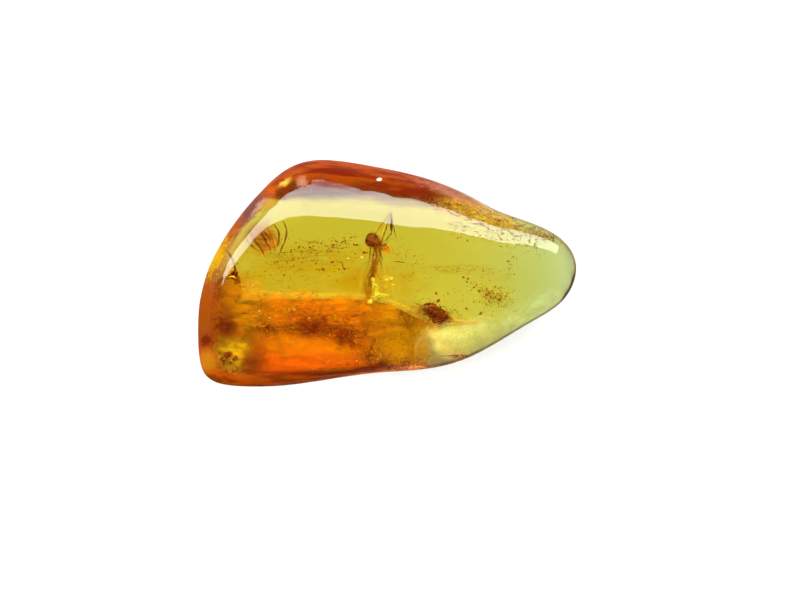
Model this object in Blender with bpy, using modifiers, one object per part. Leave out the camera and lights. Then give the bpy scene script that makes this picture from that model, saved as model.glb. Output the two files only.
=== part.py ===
"""A polished nugget of amber with a gnat and five crumbs of bark sealed inside it.

The nugget lies on its flat back. X runs from its thick, broad end to its thin tip, Y runs across it
from the near side, which overhangs, to the far side, which leans outwards, and Z is up. The origin is
at the bottom of the nugget, under the middle of its bounding box. Blender works in metres; the sizes
here are written in millimetres and multiplied by MM.
"""

import bmesh
import bpy
import numpy as np
from mathutils import Matrix, Vector, noise

MM = 0.001

# The nugget, seen from above: its leftmost point, its tip, and pairs of points on its far and near sides.
BROAD_END = (-16.8, -2.2)
TIP = (17.06, 0.4)
FAR_SIDE = (
    (-15.6, 1.45), (-13.7, 4.5), (-11.45, 7.35), (-8.85, 9.62), (-5.6, 10.26), (-1.4, 9.64),
    (2.8, 8.8), (6.6, 7.4), (9.8, 5.6), (13.2, 4.45), (15.9, 2.9),
)
NEAR_SIDE = (
    (-16.92, -5.8), (-16.45, -9.2), (-13.6, -10.18), (-9.6, -10.2), (-5.4, -9.65), (-1.2, -9.0),
    (3.0, -8.75), (6.8, -7.85), (10.0, -6.15), (13.4, -4.1), (15.9, -2.4),
)
# The line down the middle of the nugget that its inner rings close in on, from its broad end to its tip.
SPINE_X, SPINE_Y = (-10.5, 12.0), (1.1, -0.5)
# (x, thickness) and (x, how far the underside has risen off the table).
THICKNESS = ((-17.0, 10.6), (-6.0, 11.9), (4.0, 10.9), (12.0, 7.0), (17.0, 3.6))
UNDERSIDE_RISE = ((4.0, 0.0), (12.0, 1.9), (17.0, 3.6))
# Past this x, and over this length, the far and the near side turn into the thin tip.
FAR_SIDE_ENDS, FAR_BLEND = 4.0, 9.0
NEAR_SIDE_ENDS, NEAR_BLEND = -1.0, 8.0
# Rings of the cage from the flat back up to the top. For each side, far, near, left and tip: how far
# towards the spine the ring lies, how high it lies, both as shares, and how sharp an edge it makes.
SOFT = (0.0, 0.0, 0.0, 0.0)
RINGS = (
    ("flat back", (0.67, 0.76, 0.73, 0.45), (0.0, 0.0, 0.0, 0.0), SOFT),
    ("edge of the back", (0.61, 0.72, 0.66, 0.34), (0.0, 0.0, 0.0, 0.0), SOFT),
    ("underside", (0.26, 0.39, 0.36, 0.08), (0.16, 0.37, 0.28, 0.05), (0.0, 0.0, 0.0, 0.5)),
    ("lower girdle", (0.06, 0.06, 0.06, 0.02), (0.43, 0.70, 0.55, 0.24), SOFT),
    ("upper girdle", (-0.055, 0.006, -0.02, 0.0), (0.66, 0.86, 0.79, 0.76), (0.0, 0.6, 0.6, 0.6)),
    ("crest", (0.25, 0.08, 0.14, 0.12), (0.84, 0.94, 0.90, 0.87), (0.35, 0.0, 0.0, 0.0)),
    ("shoulder", (0.42, 0.22, 0.30, 0.28), (0.935, 0.985, 0.96, 0.945), SOFT),
    ("edge of the top", (0.56, 0.45, 0.48, 0.55), (0.985, 1.0, 0.99, 0.99), SOFT),
    ("top", (0.78, 0.76, 0.74, 0.78), (1.0, 1.0, 1.0, 1.0), SOFT),
)
SMOOTHING_LEVELS = 2

# The nugget is parted at the gnat's depth, and every piece keeps this gap to what holds it.
PARTING_HEIGHT = 6.8
GAP = 0.3
CUTTER_SIZE = 60.0

# The gnat: a humped thorax, a bent abdomen, six legs, two wings and two antennae.
THORAX_CENTRE, THORAX_HALF_SIZES, THORAX_TURN = (-1.42, 2.72, 6.9), (0.80, 0.56, 0.62), -0.56
HEAD_CENTRE, HEAD_RADIUS = (-0.46, 2.20, 6.55), 0.37
NECK_RADIUS = 0.16
# (x, y, z, radius) down the abdomen, from the waist to the tip.
ABDOMEN = (
    (-1.30, 2.30, 6.85, 0.20), (-1.05, 1.50, 6.95, 0.19), (-1.28, 0.80, 7.00, 0.27),
    (-1.55, 0.05, 6.90, 0.34), (-1.88, -0.75, 6.75, 0.38), (-2.00, -1.55, 6.65, 0.35),
    (-1.86, -2.15, 6.65, 0.25), (-1.74, -2.50, 6.70, 0.12),
)
FEMUR_RADIUS, TARSUS_RADIUS, ANTENNA_RADIUS = 0.085, 0.040, 0.038
# Each leg from the hip: hip, knee, ankle, then the foot.
LEGS = {
    "left_fore": ((-1.75, 2.90, 7.05), (0.10, 5.25, 7.60), (0.14, 3.85, 7.30), (-0.25, 3.15, 7.60)),
    "right_fore": ((-0.80, 2.60, 6.60), (0.12, 4.95, 6.60), (0.55, 3.05, 6.20), (1.15, 2.40, 6.10)),
    "left_middle": ((-1.70, 2.50, 6.70), (-3.00, 1.60, 7.20), (-2.70, -0.10, 7.60), (-3.10, -1.10, 7.40)),
    "right_middle": ((-1.00, 2.40, 6.50), (0.45, 1.30, 5.90), (0.95, -0.30, 5.80), (1.55, -1.00, 6.00)),
    "left_hind": ((-1.35, 2.25, 6.60), (-2.50, 0.60, 5.90), (-2.95, -1.70, 5.80), (-2.60, -2.90, 6.10)),
    "right_hind": ((-1.20, 2.35, 6.60), (-0.30, 0.20, 6.10), (0.35, -2.00, 6.20), (0.05, -3.10, 6.40)),
}
ANTENNAE = {
    "left": ((-0.40, 2.35, 6.70), (0.25, 2.75, 7.15), (0.85, 2.55, 7.45), (1.35, 2.10, 7.55)),
    "right": ((-0.35, 2.10, 6.45), (0.35, 1.95, 6.55), (0.95, 1.55, 6.75), (1.30, 1.05, 6.95)),
}
# Each wing: where it is hinged, where its tip lies, its widest chord and the tilt of its chord.
WINGS = {
    "left": {"root": (-1.50, 2.30, 7.25), "tip": (-2.50, -1.90, 7.75), "chord": 1.30, "tilt": 0.50},
    "right": {"root": (-1.15, 2.20, 7.20), "tip": (-0.05, -1.95, 7.60), "chord": 1.45, "tilt": -0.45},
}
WING_THICKNESS = 0.08

# Crumbs of bark: centre, half sizes, turn about Z and the seed of their lumps.
CRUMBS = {
    "bark_crumb_large": ((-6.57, -4.68, 6.85), (0.78, 0.48, 0.45), 0.25, 3),
    "bark_crumb_small": ((-3.87, -5.58, 6.80), (0.42, 0.34, 0.32), 1.1, 8),
    "bark_crumb_dark": ((-14.40, -4.60, 6.75), (0.68, 0.42, 0.40), 0.2, 5),
    "bark_curl": ((4.20, -3.70, 6.80), (0.92, 0.80, 0.50), 0.6, 12),
    "bark_splinter": ((6.95, -4.30, 6.75), (1.55, 0.30, 0.30), -0.06, 21),
}
CRUMB_ROUGHNESS = 0.28

COLOURS = {
    "amber": ((0.86, 0.60, 0.07, 1.0), 0.06),
    "gnat": ((0.16, 0.05, 0.015, 1.0), 0.45),
    "bark": ((0.13, 0.05, 0.015, 1.0), 0.85),
}


def clear_scene():
    for thing in list(bpy.data.objects):
        bpy.data.objects.remove(thing)


def new_collection(name):
    collection = bpy.data.collections.new(name)
    bpy.context.scene.collection.children.link(collection)
    return collection


def material(name):
    made = bpy.data.materials.get(name)
    if made is None:
        colour, roughness = COLOURS[name]
        made = bpy.data.materials.new(name)
        made.use_nodes = True
        shader = made.node_tree.nodes["Principled BSDF"]
        shader.inputs["Base Color"].default_value = colour
        shader.inputs["Roughness"].default_value = roughness
        shader.inputs["Metallic"].default_value = 0.0
    return made


def new_object(name, mesh, collection, finish=None):
    thing = bpy.data.objects.new(name, mesh)
    collection.objects.link(thing)
    if finish is not None:
        thing.data.materials.clear()
        thing.data.materials.append(material(finish))
    return thing


def mesh_of(work, name):
    """Writes a bmesh, whose sizes are in millimetres, to a mesh in metres."""
    bmesh.ops.scale(work, vec=Vector((MM, MM, MM)), verts=work.verts)
    bmesh.ops.recalc_face_normals(work, faces=work.faces)
    mesh = bpy.data.meshes.new(name)
    work.to_mesh(mesh)
    work.free()
    return mesh


def hide_helper(thing):
    thing.hide_render = True
    thing.display_type = "WIRE"
    return thing


def evaluated_mesh(thing):
    bpy.context.view_layer.update()
    graph = bpy.context.evaluated_depsgraph_get()
    return bpy.data.meshes.new_from_object(thing.evaluated_get(graph))


def outline_points():
    """The outline once round, from the broad end along the far side to the tip and back along the near side."""
    return np.array([BROAD_END, *FAR_SIDE, TIP, *reversed(NEAR_SIDE)])


def cage_outline(outline):
    """Moves each point out by a sixth of its corner, so that the smoothed outline passes through the points."""
    before, after = np.roll(outline, 1, axis=0), np.roll(outline, -1, axis=0)
    return outline + (2 * outline - before - after) / 6


def side_weights(outline):
    """For each point, how much it belongs to the far side, near side, left side and tip. They add up to 1."""
    along = np.roll(outline, -1, axis=0) - np.roll(outline, 1, axis=0)
    outward = np.stack([-along[:, 1], along[:, 0]], axis=1)
    outward /= np.linalg.norm(outward, axis=1)[:, None]
    across, lengthwise = outward[:, 1] ** 2, outward[:, 0] ** 2
    far = across * (outward[:, 1] > 0) * (1 - np.clip((outline[:, 0] - FAR_SIDE_ENDS) / FAR_BLEND, 0, 1))
    near = across * (outward[:, 1] <= 0) * (1 - np.clip((outline[:, 0] - NEAR_SIDE_ENDS) / NEAR_BLEND, 0, 1))
    left = lengthwise * (outward[:, 0] <= 0)
    return np.stack([far, near, left, 1 - far - near - left], axis=1)


def nugget_rings():
    """The rings of the nugget's cage, each an array of points in millimetres, and their edges' sharpness."""
    outline = outline_points()
    weights = side_weights(outline)
    cage = cage_outline(outline)
    spine_x = np.clip(cage[:, 0], *SPINE_X)
    spine = np.stack([spine_x, np.interp(spine_x, SPINE_X, SPINE_Y)], axis=1)
    rings = []
    for _, inwards, heights, sharpness in RINGS:
        plan = cage + (weights @ np.array(inwards))[:, None] * (spine - cage)
        thickness = np.interp(plan[:, 0], *zip(*THICKNESS))
        rise = np.interp(plan[:, 0], *zip(*UNDERSIDE_RISE))
        points = np.column_stack([plan, rise + (weights @ np.array(heights)) * thickness])
        rings.append((points, weights @ np.array(sharpness)))
    return rings


def nugget_mesh():
    """The cage: rings joined side to side, closed at the back and the top by faces across from far to near."""
    work = bmesh.new()
    rings = nugget_rings()
    loops = [[work.verts.new(point) for point in points] for points, _ in rings]
    count = len(loops[0])
    for lower, upper in zip(loops, loops[1:]):
        for i in range(count):
            j = (i + 1) % count
            work.faces.new((lower[i], lower[j], upper[j], upper[i]))
    for loop in (loops[0], loops[-1]):
        for i in range(count // 2):
            across = (loop[i], loop[i + 1], loop[-i - 1], loop[-i])
            work.faces.new(tuple(dict.fromkeys(across)))
    crease = work.edges.layers.float.new("crease_edge")
    for loop, (_, sharpness) in zip(loops, rings):
        for i in range(count):
            j = (i + 1) % count
            work.edges.get((loop[i], loop[j]))[crease] = min(sharpness[i], sharpness[j])
    return mesh_of(work, "nugget")


def block(name, low_z, high_z, collection):
    """A wide cutter between two heights."""
    bpy.ops.mesh.primitive_cube_add(size=1.0)
    cutter = bpy.context.object
    cutter.name = name
    cutter.data.transform(Matrix.Diagonal((CUTTER_SIZE * MM, CUTTER_SIZE * MM, (high_z - low_z) * MM, 1.0)))
    cutter.location.z = (low_z + high_z) / 2 * MM
    for home in list(cutter.users_collection):
        home.objects.unlink(cutter)
    collection.objects.link(cutter)
    return hide_helper(cutter)


def amber_half(name, nugget, away, pockets, collection):
    """One half of the nugget: the smooth body, less everything past the parting and the pockets."""
    half = new_object(name, nugget, collection, "amber")
    smooth = half.modifiers.new("Smooth body", "SUBSURF")
    smooth.levels = smooth.render_levels = SMOOTHING_LEVELS
    parting = half.modifiers.new("Parting", "BOOLEAN")
    parting.operation = "DIFFERENCE"
    parting.object = away
    for pocket in pockets:
        cut = half.modifiers.new(f"Pocket for {pocket.name}", "BOOLEAN")
        cut.operation = "DIFFERENCE"
        cut.object = pocket
    return half


def rounded(name, centre, half_sizes, turn, collection, segments=14, rings=9):
    """An ellipsoid with its long axis turned about Z."""
    work = bmesh.new()
    bmesh.ops.create_uvsphere(work, u_segments=segments, v_segments=rings, radius=1.0)
    place = Matrix.Translation(centre) @ Matrix.Rotation(turn, 4, "Z") @ Matrix.Diagonal((*half_sizes, 1.0))
    bmesh.ops.transform(work, matrix=place, verts=work.verts)
    return new_object(name, mesh_of(work, name), collection)


def tube(name, points, radii, collection, sides=6):
    """A round tube through the points, in millimetres, as a closed mesh."""
    curve = bpy.data.curves.new(name, "CURVE")
    curve.dimensions = "3D"
    curve.bevel_depth = MM
    curve.bevel_resolution = (sides - 4) // 2
    curve.use_fill_caps = True
    spline = curve.splines.new("POLY")
    spline.points.add(len(points) - 1)
    for knot, point, radius in zip(spline.points, points, radii):
        knot.co = (*(Vector(point) * MM), 1.0)
        knot.radius = radius
    guide = bpy.data.objects.new(f"{name} guide", curve)
    collection.objects.link(guide)
    mesh = evaluated_mesh(guide)
    bpy.data.objects.remove(guide)
    work = bmesh.new()
    work.from_mesh(mesh)
    bmesh.ops.remove_doubles(work, verts=work.verts, dist=0.001 * MM)
    bmesh.ops.recalc_face_normals(work, faces=work.faces)
    work.to_mesh(mesh)
    work.free()
    return new_object(name, mesh, collection)


def smooth_line(knots, steps):
    """Points on a Catmull-Rom curve through the knots, which may carry a radius as a fourth number."""
    knots = [np.array(knot, float) for knot in knots]
    ends = [2 * knots[0] - knots[1], *knots, 2 * knots[-1] - knots[-2]]
    line = []
    for a, b, c, d in zip(ends, ends[1:], ends[2:], ends[3:]):
        for share in np.arange(steps) / steps:
            line.append(
                0.5 * (2 * b + (c - a) * share + (2 * a - 5 * b + 4 * c - d) * share**2
                       + (3 * b - a - 3 * c + d) * share**3)
            )
    line.append(knots[-1])
    return line


def leg(name, joints, collection):
    """A leg in one tube: a stout femur, a thinner tibia and a fine foot."""
    hip, knee, ankle, foot = (Vector(joint) for joint in joints)
    points = [hip, hip.lerp(knee, 0.35), hip.lerp(knee, 0.9), knee, knee.lerp(ankle, 0.12), ankle, foot]
    radii = [0.9, 1.15, 0.75, 0.6, 0.6, 0.5]
    return tube(name, points, [*(FEMUR_RADIUS * r for r in radii), TARSUS_RADIUS], collection)


def wing(name, root, tip, chord, tilt, collection):
    """A thin plate with a wing's outline: narrow at its hinge, widest past the middle, round at the tip."""
    half_outline = ((0.0, 0.10), (0.15, 0.16), (0.35, 0.36), (0.60, 0.50), (0.82, 0.42), (0.95, 0.22), (1.0, 0.05))
    ahead = [(along, 0.8 * across) for along, across in half_outline]
    behind = [(along, -across) for along, across in reversed(half_outline)]
    work = bmesh.new()
    plate = work.faces.new([work.verts.new((along, across, 0.0)) for along, across in ahead + behind])
    raised = bmesh.ops.extrude_face_region(work, geom=[plate])["geom"]
    bmesh.ops.translate(work, vec=(0, 0, 1), verts=[v for v in raised if isinstance(v, bmesh.types.BMVert)])
    span = Vector(tip) - Vector(root)
    turn = span.to_track_quat("X", "Z").to_matrix().to_4x4()
    size = Matrix.Diagonal((span.length, chord, WING_THICKNESS, 1.0))
    place = Matrix.Translation(root) @ turn @ Matrix.Rotation(tilt, 4, "X") @ size
    bmesh.ops.transform(work, matrix=place, verts=work.verts)
    bmesh.ops.triangulate(work, faces=work.faces)
    return new_object(name, mesh_of(work, name), collection)


def gnat(helpers, collection):
    """The whole insect as one solid, because it grew as one."""
    pieces = bpy.data.collections.new("Gnat pieces")
    helpers.children.link(pieces)
    body = rounded("Thorax", THORAX_CENTRE, THORAX_HALF_SIZES, THORAX_TURN, helpers)
    rounded("Head", HEAD_CENTRE, (HEAD_RADIUS,) * 3, 0.0, pieces, segments=12, rings=8)
    tube("Neck", (THORAX_CENTRE, HEAD_CENTRE), (NECK_RADIUS,) * 2, pieces)
    line = smooth_line(ABDOMEN, 2)
    tube("Abdomen", [knot[:3] for knot in line], [knot[3] for knot in line], pieces, sides=10)
    for name, joints in LEGS.items():
        leg(f"Leg {name}", joints, pieces)
    for name, joints in ANTENNAE.items():
        tube(f"Antenna {name}", joints, (ANTENNA_RADIUS,) * len(joints), pieces)
    for name, shape in WINGS.items():
        wing(f"Wing {name}", collection=pieces, **shape)
    union = body.modifiers.new("Joined pieces", "BOOLEAN")
    union.operation = "UNION"
    union.operand_type = "COLLECTION"
    union.collection = pieces
    whole = new_object("gnat", evaluated_mesh(body), collection, "gnat")
    for helper in [body, *pieces.objects]:
        bpy.data.objects.remove(helper)
    bpy.data.collections.remove(pieces)
    return whole


def crumb(name, centre, half_sizes, turn, seed, collection):
    """A lump of bark: a sphere roughened by noise."""
    work = bmesh.new()
    bmesh.ops.create_icosphere(work, subdivisions=2, radius=1.0)
    for vertex in work.verts:
        vertex.co *= 1.0 + CRUMB_ROUGHNESS * noise.noise(vertex.co * 1.7 + Vector((seed, 0, 0)))
    place = Matrix.Translation(centre) @ Matrix.Rotation(turn, 4, "Z") @ Matrix.Diagonal((*half_sizes, 1.0))
    bmesh.ops.transform(work, matrix=place, verts=work.verts)
    return new_object(name, mesh_of(work, name), collection, "bark")


def pocket_around(inclusion, helpers):
    """The hollow that holds an inclusion: the hull around it, grown by the gap."""
    work = bmesh.new()
    work.from_mesh(inclusion.data)
    hull = bmesh.ops.convex_hull(work, input=work.verts)
    inside = [v for v in hull["geom_interior"] + hull["geom_unused"] if isinstance(v, bmesh.types.BMVert)]
    bmesh.ops.delete(work, geom=list(set(inside)), context="VERTS")
    bmesh.ops.remove_doubles(work, verts=work.verts, dist=GAP * MM)
    shell = bmesh.ops.convex_hull(work, input=work.verts)["geom"]
    kept = {face for face in shell if isinstance(face, bmesh.types.BMFace)}
    bmesh.ops.delete(work, geom=[f for f in work.faces if f not in kept], context="FACES_ONLY")
    bmesh.ops.recalc_face_normals(work, faces=work.faces)
    work.normal_update()
    for vertex, outward in [(v, v.normal.copy()) for v in work.verts]:
        vertex.co += outward * 1.6 * GAP * MM
    mesh = bpy.data.meshes.new(f"Pocket of {inclusion.name}")
    work.to_mesh(mesh)
    work.free()
    return hide_helper(new_object(mesh.name, mesh, helpers))


def main():
    clear_scene()
    parts = new_collection("Gnat in amber")
    helpers = new_collection("Cutters")
    inclusions = [gnat(helpers, parts)]
    for name, (centre, half_sizes, turn, seed) in CRUMBS.items():
        inclusions.append(crumb(name, centre, half_sizes, turn, seed, parts))
    pockets = [pocket_around(inclusion, helpers) for inclusion in inclusions]
    nugget = nugget_mesh()
    below = block("Below the parting", -CUTTER_SIZE, PARTING_HEIGHT + GAP / 2, helpers)
    above = block("Above the parting", PARTING_HEIGHT - GAP / 2, CUTTER_SIZE, helpers)
    amber_half("amber_upper_half", nugget, below, pockets, parts)
    amber_half("amber_lower_half", nugget, above, pockets, parts)


main()
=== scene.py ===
"""A polished nugget of clear amber with a gnat, crumbs of bark, bubbles and dust sealed in it.

The script is laid out as an add-on. Each operator makes one piece or a group of like pieces around the
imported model, and the panel in the 3D view's sidebar lists them. Sizes and places are in millimetres, in
the model's own frame, and become metres when a mesh is made: X runs from the nugget's broad end to its
tip, Y from its near side to its far side, and Z up from the surface that it lies on.
"""

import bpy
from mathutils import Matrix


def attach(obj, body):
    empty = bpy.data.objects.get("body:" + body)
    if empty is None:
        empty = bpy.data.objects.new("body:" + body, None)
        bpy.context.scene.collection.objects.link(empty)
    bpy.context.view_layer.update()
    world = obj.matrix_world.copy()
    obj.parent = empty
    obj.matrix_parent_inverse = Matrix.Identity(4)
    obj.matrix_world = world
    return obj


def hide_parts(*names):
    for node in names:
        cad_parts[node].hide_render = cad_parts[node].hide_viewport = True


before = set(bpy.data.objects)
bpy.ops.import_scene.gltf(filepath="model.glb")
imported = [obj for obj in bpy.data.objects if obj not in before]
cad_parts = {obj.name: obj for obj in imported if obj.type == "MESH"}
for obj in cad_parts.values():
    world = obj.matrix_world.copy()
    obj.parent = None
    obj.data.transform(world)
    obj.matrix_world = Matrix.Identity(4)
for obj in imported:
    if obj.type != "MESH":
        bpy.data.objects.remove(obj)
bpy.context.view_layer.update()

import math
from functools import lru_cache

import bmesh
import bpy
import numpy as np
from bpy.props import FloatProperty, FloatVectorProperty, IntProperty, PointerProperty
from mathutils import Matrix, Vector, noise
from mathutils.bvhtree import BVHTree

bl_info = {
    "name": "Gnat in amber",
    "version": (1, 0, 0),
    "blender": (4, 5, 0),
    "location": "3D View > Sidebar > Amber",
    "description": "Dresses a nugget of amber and everything that is sealed in it",
    "category": "Object",
}

MM = 0.001
BODY = "root"

# The nugget, seen from above: its leftmost point, its tip, and pairs of points on its far and near sides.
BROAD_END = (-16.8, -2.2)
TIP = (17.06, 0.4)
FAR_SIDE = (
    (-15.6, 1.45), (-13.7, 4.5), (-11.45, 7.35), (-8.85, 9.62), (-5.6, 10.26), (-1.4, 9.64),
    (2.8, 8.8), (6.6, 7.4), (9.8, 5.6), (13.2, 4.45), (15.9, 2.9),
)
NEAR_SIDE = (
    (-16.92, -5.8), (-16.45, -9.2), (-13.6, -10.18), (-9.6, -10.2), (-5.4, -9.65), (-1.2, -9.0),
    (3.0, -8.75), (6.8, -7.85), (10.0, -6.15), (13.4, -4.1), (15.9, -2.4),
)
SPINE_X, SPINE_Y = (-10.5, 12.0), (1.1, -0.5)
THICKNESS = ((-17.0, 10.6), (-6.0, 11.9), (4.0, 10.9), (12.0, 7.0), (17.0, 3.6))
UNDERSIDE_RISE = ((4.0, 0.0), (12.0, 1.9), (17.0, 3.6))
FAR_SIDE_ENDS, FAR_BLEND = 4.0, 9.0
NEAR_SIDE_ENDS, NEAR_BLEND = -1.0, 8.0
# Rings of the cage from the flat back to the top, as in the solids, with their rind and unpolished skin.
# For each: inwards, height, edge sharpness, rind and roughness, for the far side, near side, left and tip.
NONE = (0.0, 0.0, 0.0, 0.0)
RINGS = (
    ((0.67, 0.76, 0.73, 0.45), NONE, NONE, NONE, NONE),
    ((0.61, 0.72, 0.66, 0.34), NONE, NONE, (0.6, 0.0, 0.2, 0.0), (0.5, 0.0, 0.0, 0.0)),
    (
        (0.26, 0.39, 0.36, 0.08), (0.16, 0.37, 0.28, 0.05), (0.0, 0.0, 0.0, 0.5),
        (1.0, 0.1, 0.5, 0.0), (1.0, 0.0, 0.0, 0.0),
    ),
    ((0.06, 0.06, 0.06, 0.02), (0.43, 0.70, 0.55, 0.24), NONE, (1.0, 0.5, 0.8, 0.0), (1.0, 0.0, 0.0, 0.0)),
    (
        (-0.055, 0.006, -0.02, 0.0), (0.66, 0.86, 0.79, 0.76), (0.0, 0.6, 0.6, 0.6),
        (1.0, 1.0, 1.0, 0.0), (0.2, 0.0, 0.0, 0.0),
    ),
    ((0.25, 0.08, 0.14, 0.12), (0.84, 0.94, 0.90, 0.87), (0.35, 0.0, 0.0, 0.0), (0.62, 0.6, 0.6, 0.0), NONE),
    ((0.42, 0.22, 0.30, 0.28), (0.935, 0.985, 0.96, 0.945), NONE, NONE, NONE),
    ((0.56, 0.45, 0.48, 0.55), (0.985, 1.0, 0.99, 0.99), NONE, NONE, NONE),
    ((0.78, 0.76, 0.74, 0.78), (1.0, 1.0, 1.0, 1.0), NONE, NONE, NONE),
)
# The ring that shows as the nugget's edge from above.
WIDEST_RING = 4
# How much of the rind has a dull crust, for the same sides.
CRUSTED = (1.0, 0.95, 1.05, 0.0)
# How often the cage is smoothed, for the piece and for the surface that places are searched on.
SKIN_LEVELS, SEARCH_LEVELS = 4, 3
AMBER_IOR = 1.54
# The rind is weathered between these two shares, and its streaks and blots are this large.
WEATHERED, STREAK_SIZE, BLOT_SIZE = (0.35, 0.75), 0.8, 2.2
# The amber grows paler and greener between these two places along its length.
TIP_TINTED = (5.5, 14.0)
# Where the rim's line starts and is full, as a share of the way to the widest ring, and how much it covers.
RIM_REACH, RIM_COVER = (0.5, 0.8), 0.55
# The speckled band along the far shoulder: its middle line, and how far it fades out to the sides.
SPECKED_LINE, SPECKED_SPREAD = ((3.6, 6.2), (8.0, 4.5), (14.6, 2.6)), 1.6
SPECK_SIZE, SPECK_LEVELS, SPECK_ROUGHNESS, SPECK_COVER = 0.24, (0.58, 0.63), 0.5, 0.75
# Patches on the skin's upper side: centre, half sizes, turn about Z, colour and how much they cover.
PATCHES = {
    "lobe_shadow": ((-12.2, 5.7), (2.2, 0.75), 0.90, (0.050, 0.022, 0.022), 0.9),
    "lobe_edge": ((-11.5, 6.0), (1.3, 0.36), 0.90, (0.20, 0.11, 0.08), 0.7),
    "tan": ((-10.7, 6.1), (1.3, 0.55), 0.45, (0.20, 0.115, 0.02), 0.6),
    "rust": ((-10.3, 7.3), (0.75, 0.80), 0.5, (0.22, 0.036, 0.001), 0.7),
    "dark_spot": ((-9.7, 7.1), (0.80, 0.60), 0.5, (0.03, 0.008, 0.001), 0.9),
    "gold": ((-9.2, 8.1), (0.70, 0.36), 0.5, (0.32, 0.20, 0.02), 0.85),
    "brown_spot": ((-8.5, 7.9), (0.75, 0.60), 0.4, (0.035, 0.010, 0.001), 0.9),
    # A pinkish quad on the far shoulder: a painted reflection of the softbox's edge.
    "pink_facet_reflection": ((-7.7, 8.1), (0.60, 0.85), 0.25, (0.26, 0.13, 0.08), 0.5),
    "glint": ((-0.8, 8.4), (0.26, 0.14), 0.1, (0.9, 0.85, 0.75), 1.0),
    # A pale, pinkish wash along the far shoulder: a painted sheen that stands in for the reflection there.
    "pale_shoulder_sheen": ((6.4, 6.9), (5.0, 0.70), -0.42, (0.25, 0.115, 0.07), 0.5),
    "left_brown": ((-16.2, -3.4), (1.7, 4.2), 0.0, (0.155, 0.030, 0.001), 0.8),
    "left_yellow": ((-15.5, 1.4), (1.2, 2.6), -0.45, (0.27, 0.16, 0.002), 0.8),
    "left_red": ((-16.3, -6.1), (1.1, 0.80), 0.25, (0.070, 0.004, 0.001), 0.9),
    "left_gold": ((-16.0, -8.0), (1.3, 1.35), 0.1, (0.30, 0.125, 0.004), 0.75),
    "left_dark": ((-15.6, -9.5), (1.2, 0.5), -0.4, (0.12, 0.026, 0.001), 0.8),
}
# How ragged a patch's rim is, how softly it starts and the heights between which the patches fade in.
PATCH_RAGGED, PATCH_FADE, PATCH_LEVEL = 2.4, (-0.15, 0.85), (6.0, 8.5)
# Nothing sealed in the amber comes nearer than this to its surface.
SKIN_MARGIN = 0.25
ABOVE, BELOW = 60.0, -60.0
# The higher, the rarer large bubbles and grains are. Past each of these radii a bubble is rounder.
BUBBLE_RARITY, GRAIN_RARITY = 2.2, 3
FINE_BUBBLES = (0.08, 0.105)

# The gnat, as in the solids.
THORAX_CENTRE, THORAX_HALF_SIZES, THORAX_TURN = (-1.42, 2.72, 6.9), (0.80, 0.56, 0.62), -0.56
HEAD_CENTRE, HEAD_RADIUS = (-0.46, 2.20, 6.55), 0.37
ABDOMEN = (
    (-1.30, 2.30, 6.85, 0.20), (-1.05, 1.50, 6.95, 0.19), (-1.28, 0.80, 7.00, 0.27),
    (-1.55, 0.05, 6.90, 0.34), (-1.88, -0.75, 6.75, 0.38), (-2.00, -1.55, 6.65, 0.35),
    (-1.86, -2.15, 6.65, 0.25), (-1.74, -2.50, 6.70, 0.12),
)
ABDOMEN_STEPS, ABDOMEN_SIDES, WALL_INSIDE = 14, 26, 0.80
# Past this share of the abdomen's length the gut is only a thread.
GUT_THINS = 0.46
THIGH_RADIUS, SHIN_RADIUS, FOOT_RADIUS, ANTENNA_RADIUS = 0.055, 0.034, 0.024, 0.022
STOUT_SHIN_RADIUS = 0.135
# How far a leg is bent out of its line.
LEG_BEND, LEG_SIDES = 0.05, 12
THIGH_STEPS, SHIN_STEPS, FOOT_STEPS = 12, 14, 20
LEGS = {
    "left_fore": ((-1.75, 2.90, 7.05), (0.10, 4.95, 7.60), (0.16, 3.45, 7.35), (-0.25, 2.95, 7.55)),
    "right_fore": ((-0.80, 2.60, 6.60), (0.05, 4.80, 7.10), (0.45, 3.35, 6.60), (0.60, 2.95, 6.40)),
    "left_middle": ((-1.70, 2.50, 6.60), (-1.85, 1.00, 6.30), (-2.35, -0.60, 6.40), (-2.40, -1.60, 6.50)),
    "right_middle": ((-1.00, 2.40, 6.50), (-0.70, 1.10, 6.10), (-0.95, -0.40, 6.00), (-0.75, -1.50, 6.00)),
    "left_hind": ((-1.35, 2.25, 6.60), (-1.60, 0.70, 6.10), (-2.25, -1.20, 6.00), (-2.20, -2.40, 6.10)),
    "right_hind": ((-1.20, 2.35, 6.60), (-0.75, 0.60, 6.00), (-0.60, -1.10, 5.90), (-0.30, -2.20, 5.90)),
}
ANTENNAE = {
    "left": ((-0.40, 2.35, 6.70), (0.05, 2.95, 6.90), (0.45, 2.85, 7.00), (0.75, 2.45, 7.00)),
    "right": ((-0.35, 2.10, 6.45), (0.25, 1.85, 6.45), (0.60, 1.65, 6.50), (0.90, 1.25, 6.60)),
}
DARK_LEGS, STOUT_LEGS = ("left_fore",), ("left_fore",)
# Root, tip, chord and tilt.
WINGS = {
    "left": ((-1.50, 2.30, 7.25), (-2.50, -1.90, 7.75), 1.30, 0.50),
    "right": ((-1.15, 2.20, 7.20), (-0.05, -1.95, 7.60), 1.45, -0.45),
}
WING_THICKNESS, WING_COLUMNS, WING_ROWS = 0.012, 30, 12
# (share of the wing's length, share of its chord) from the middle line to its edge.
WING_OUTLINE = (
    (0.0, 0.10), (0.15, 0.16), (0.35, 0.36), (0.60, 0.50), (0.82, 0.42), (0.95, 0.22), (1.0, 0.05),
)
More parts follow.
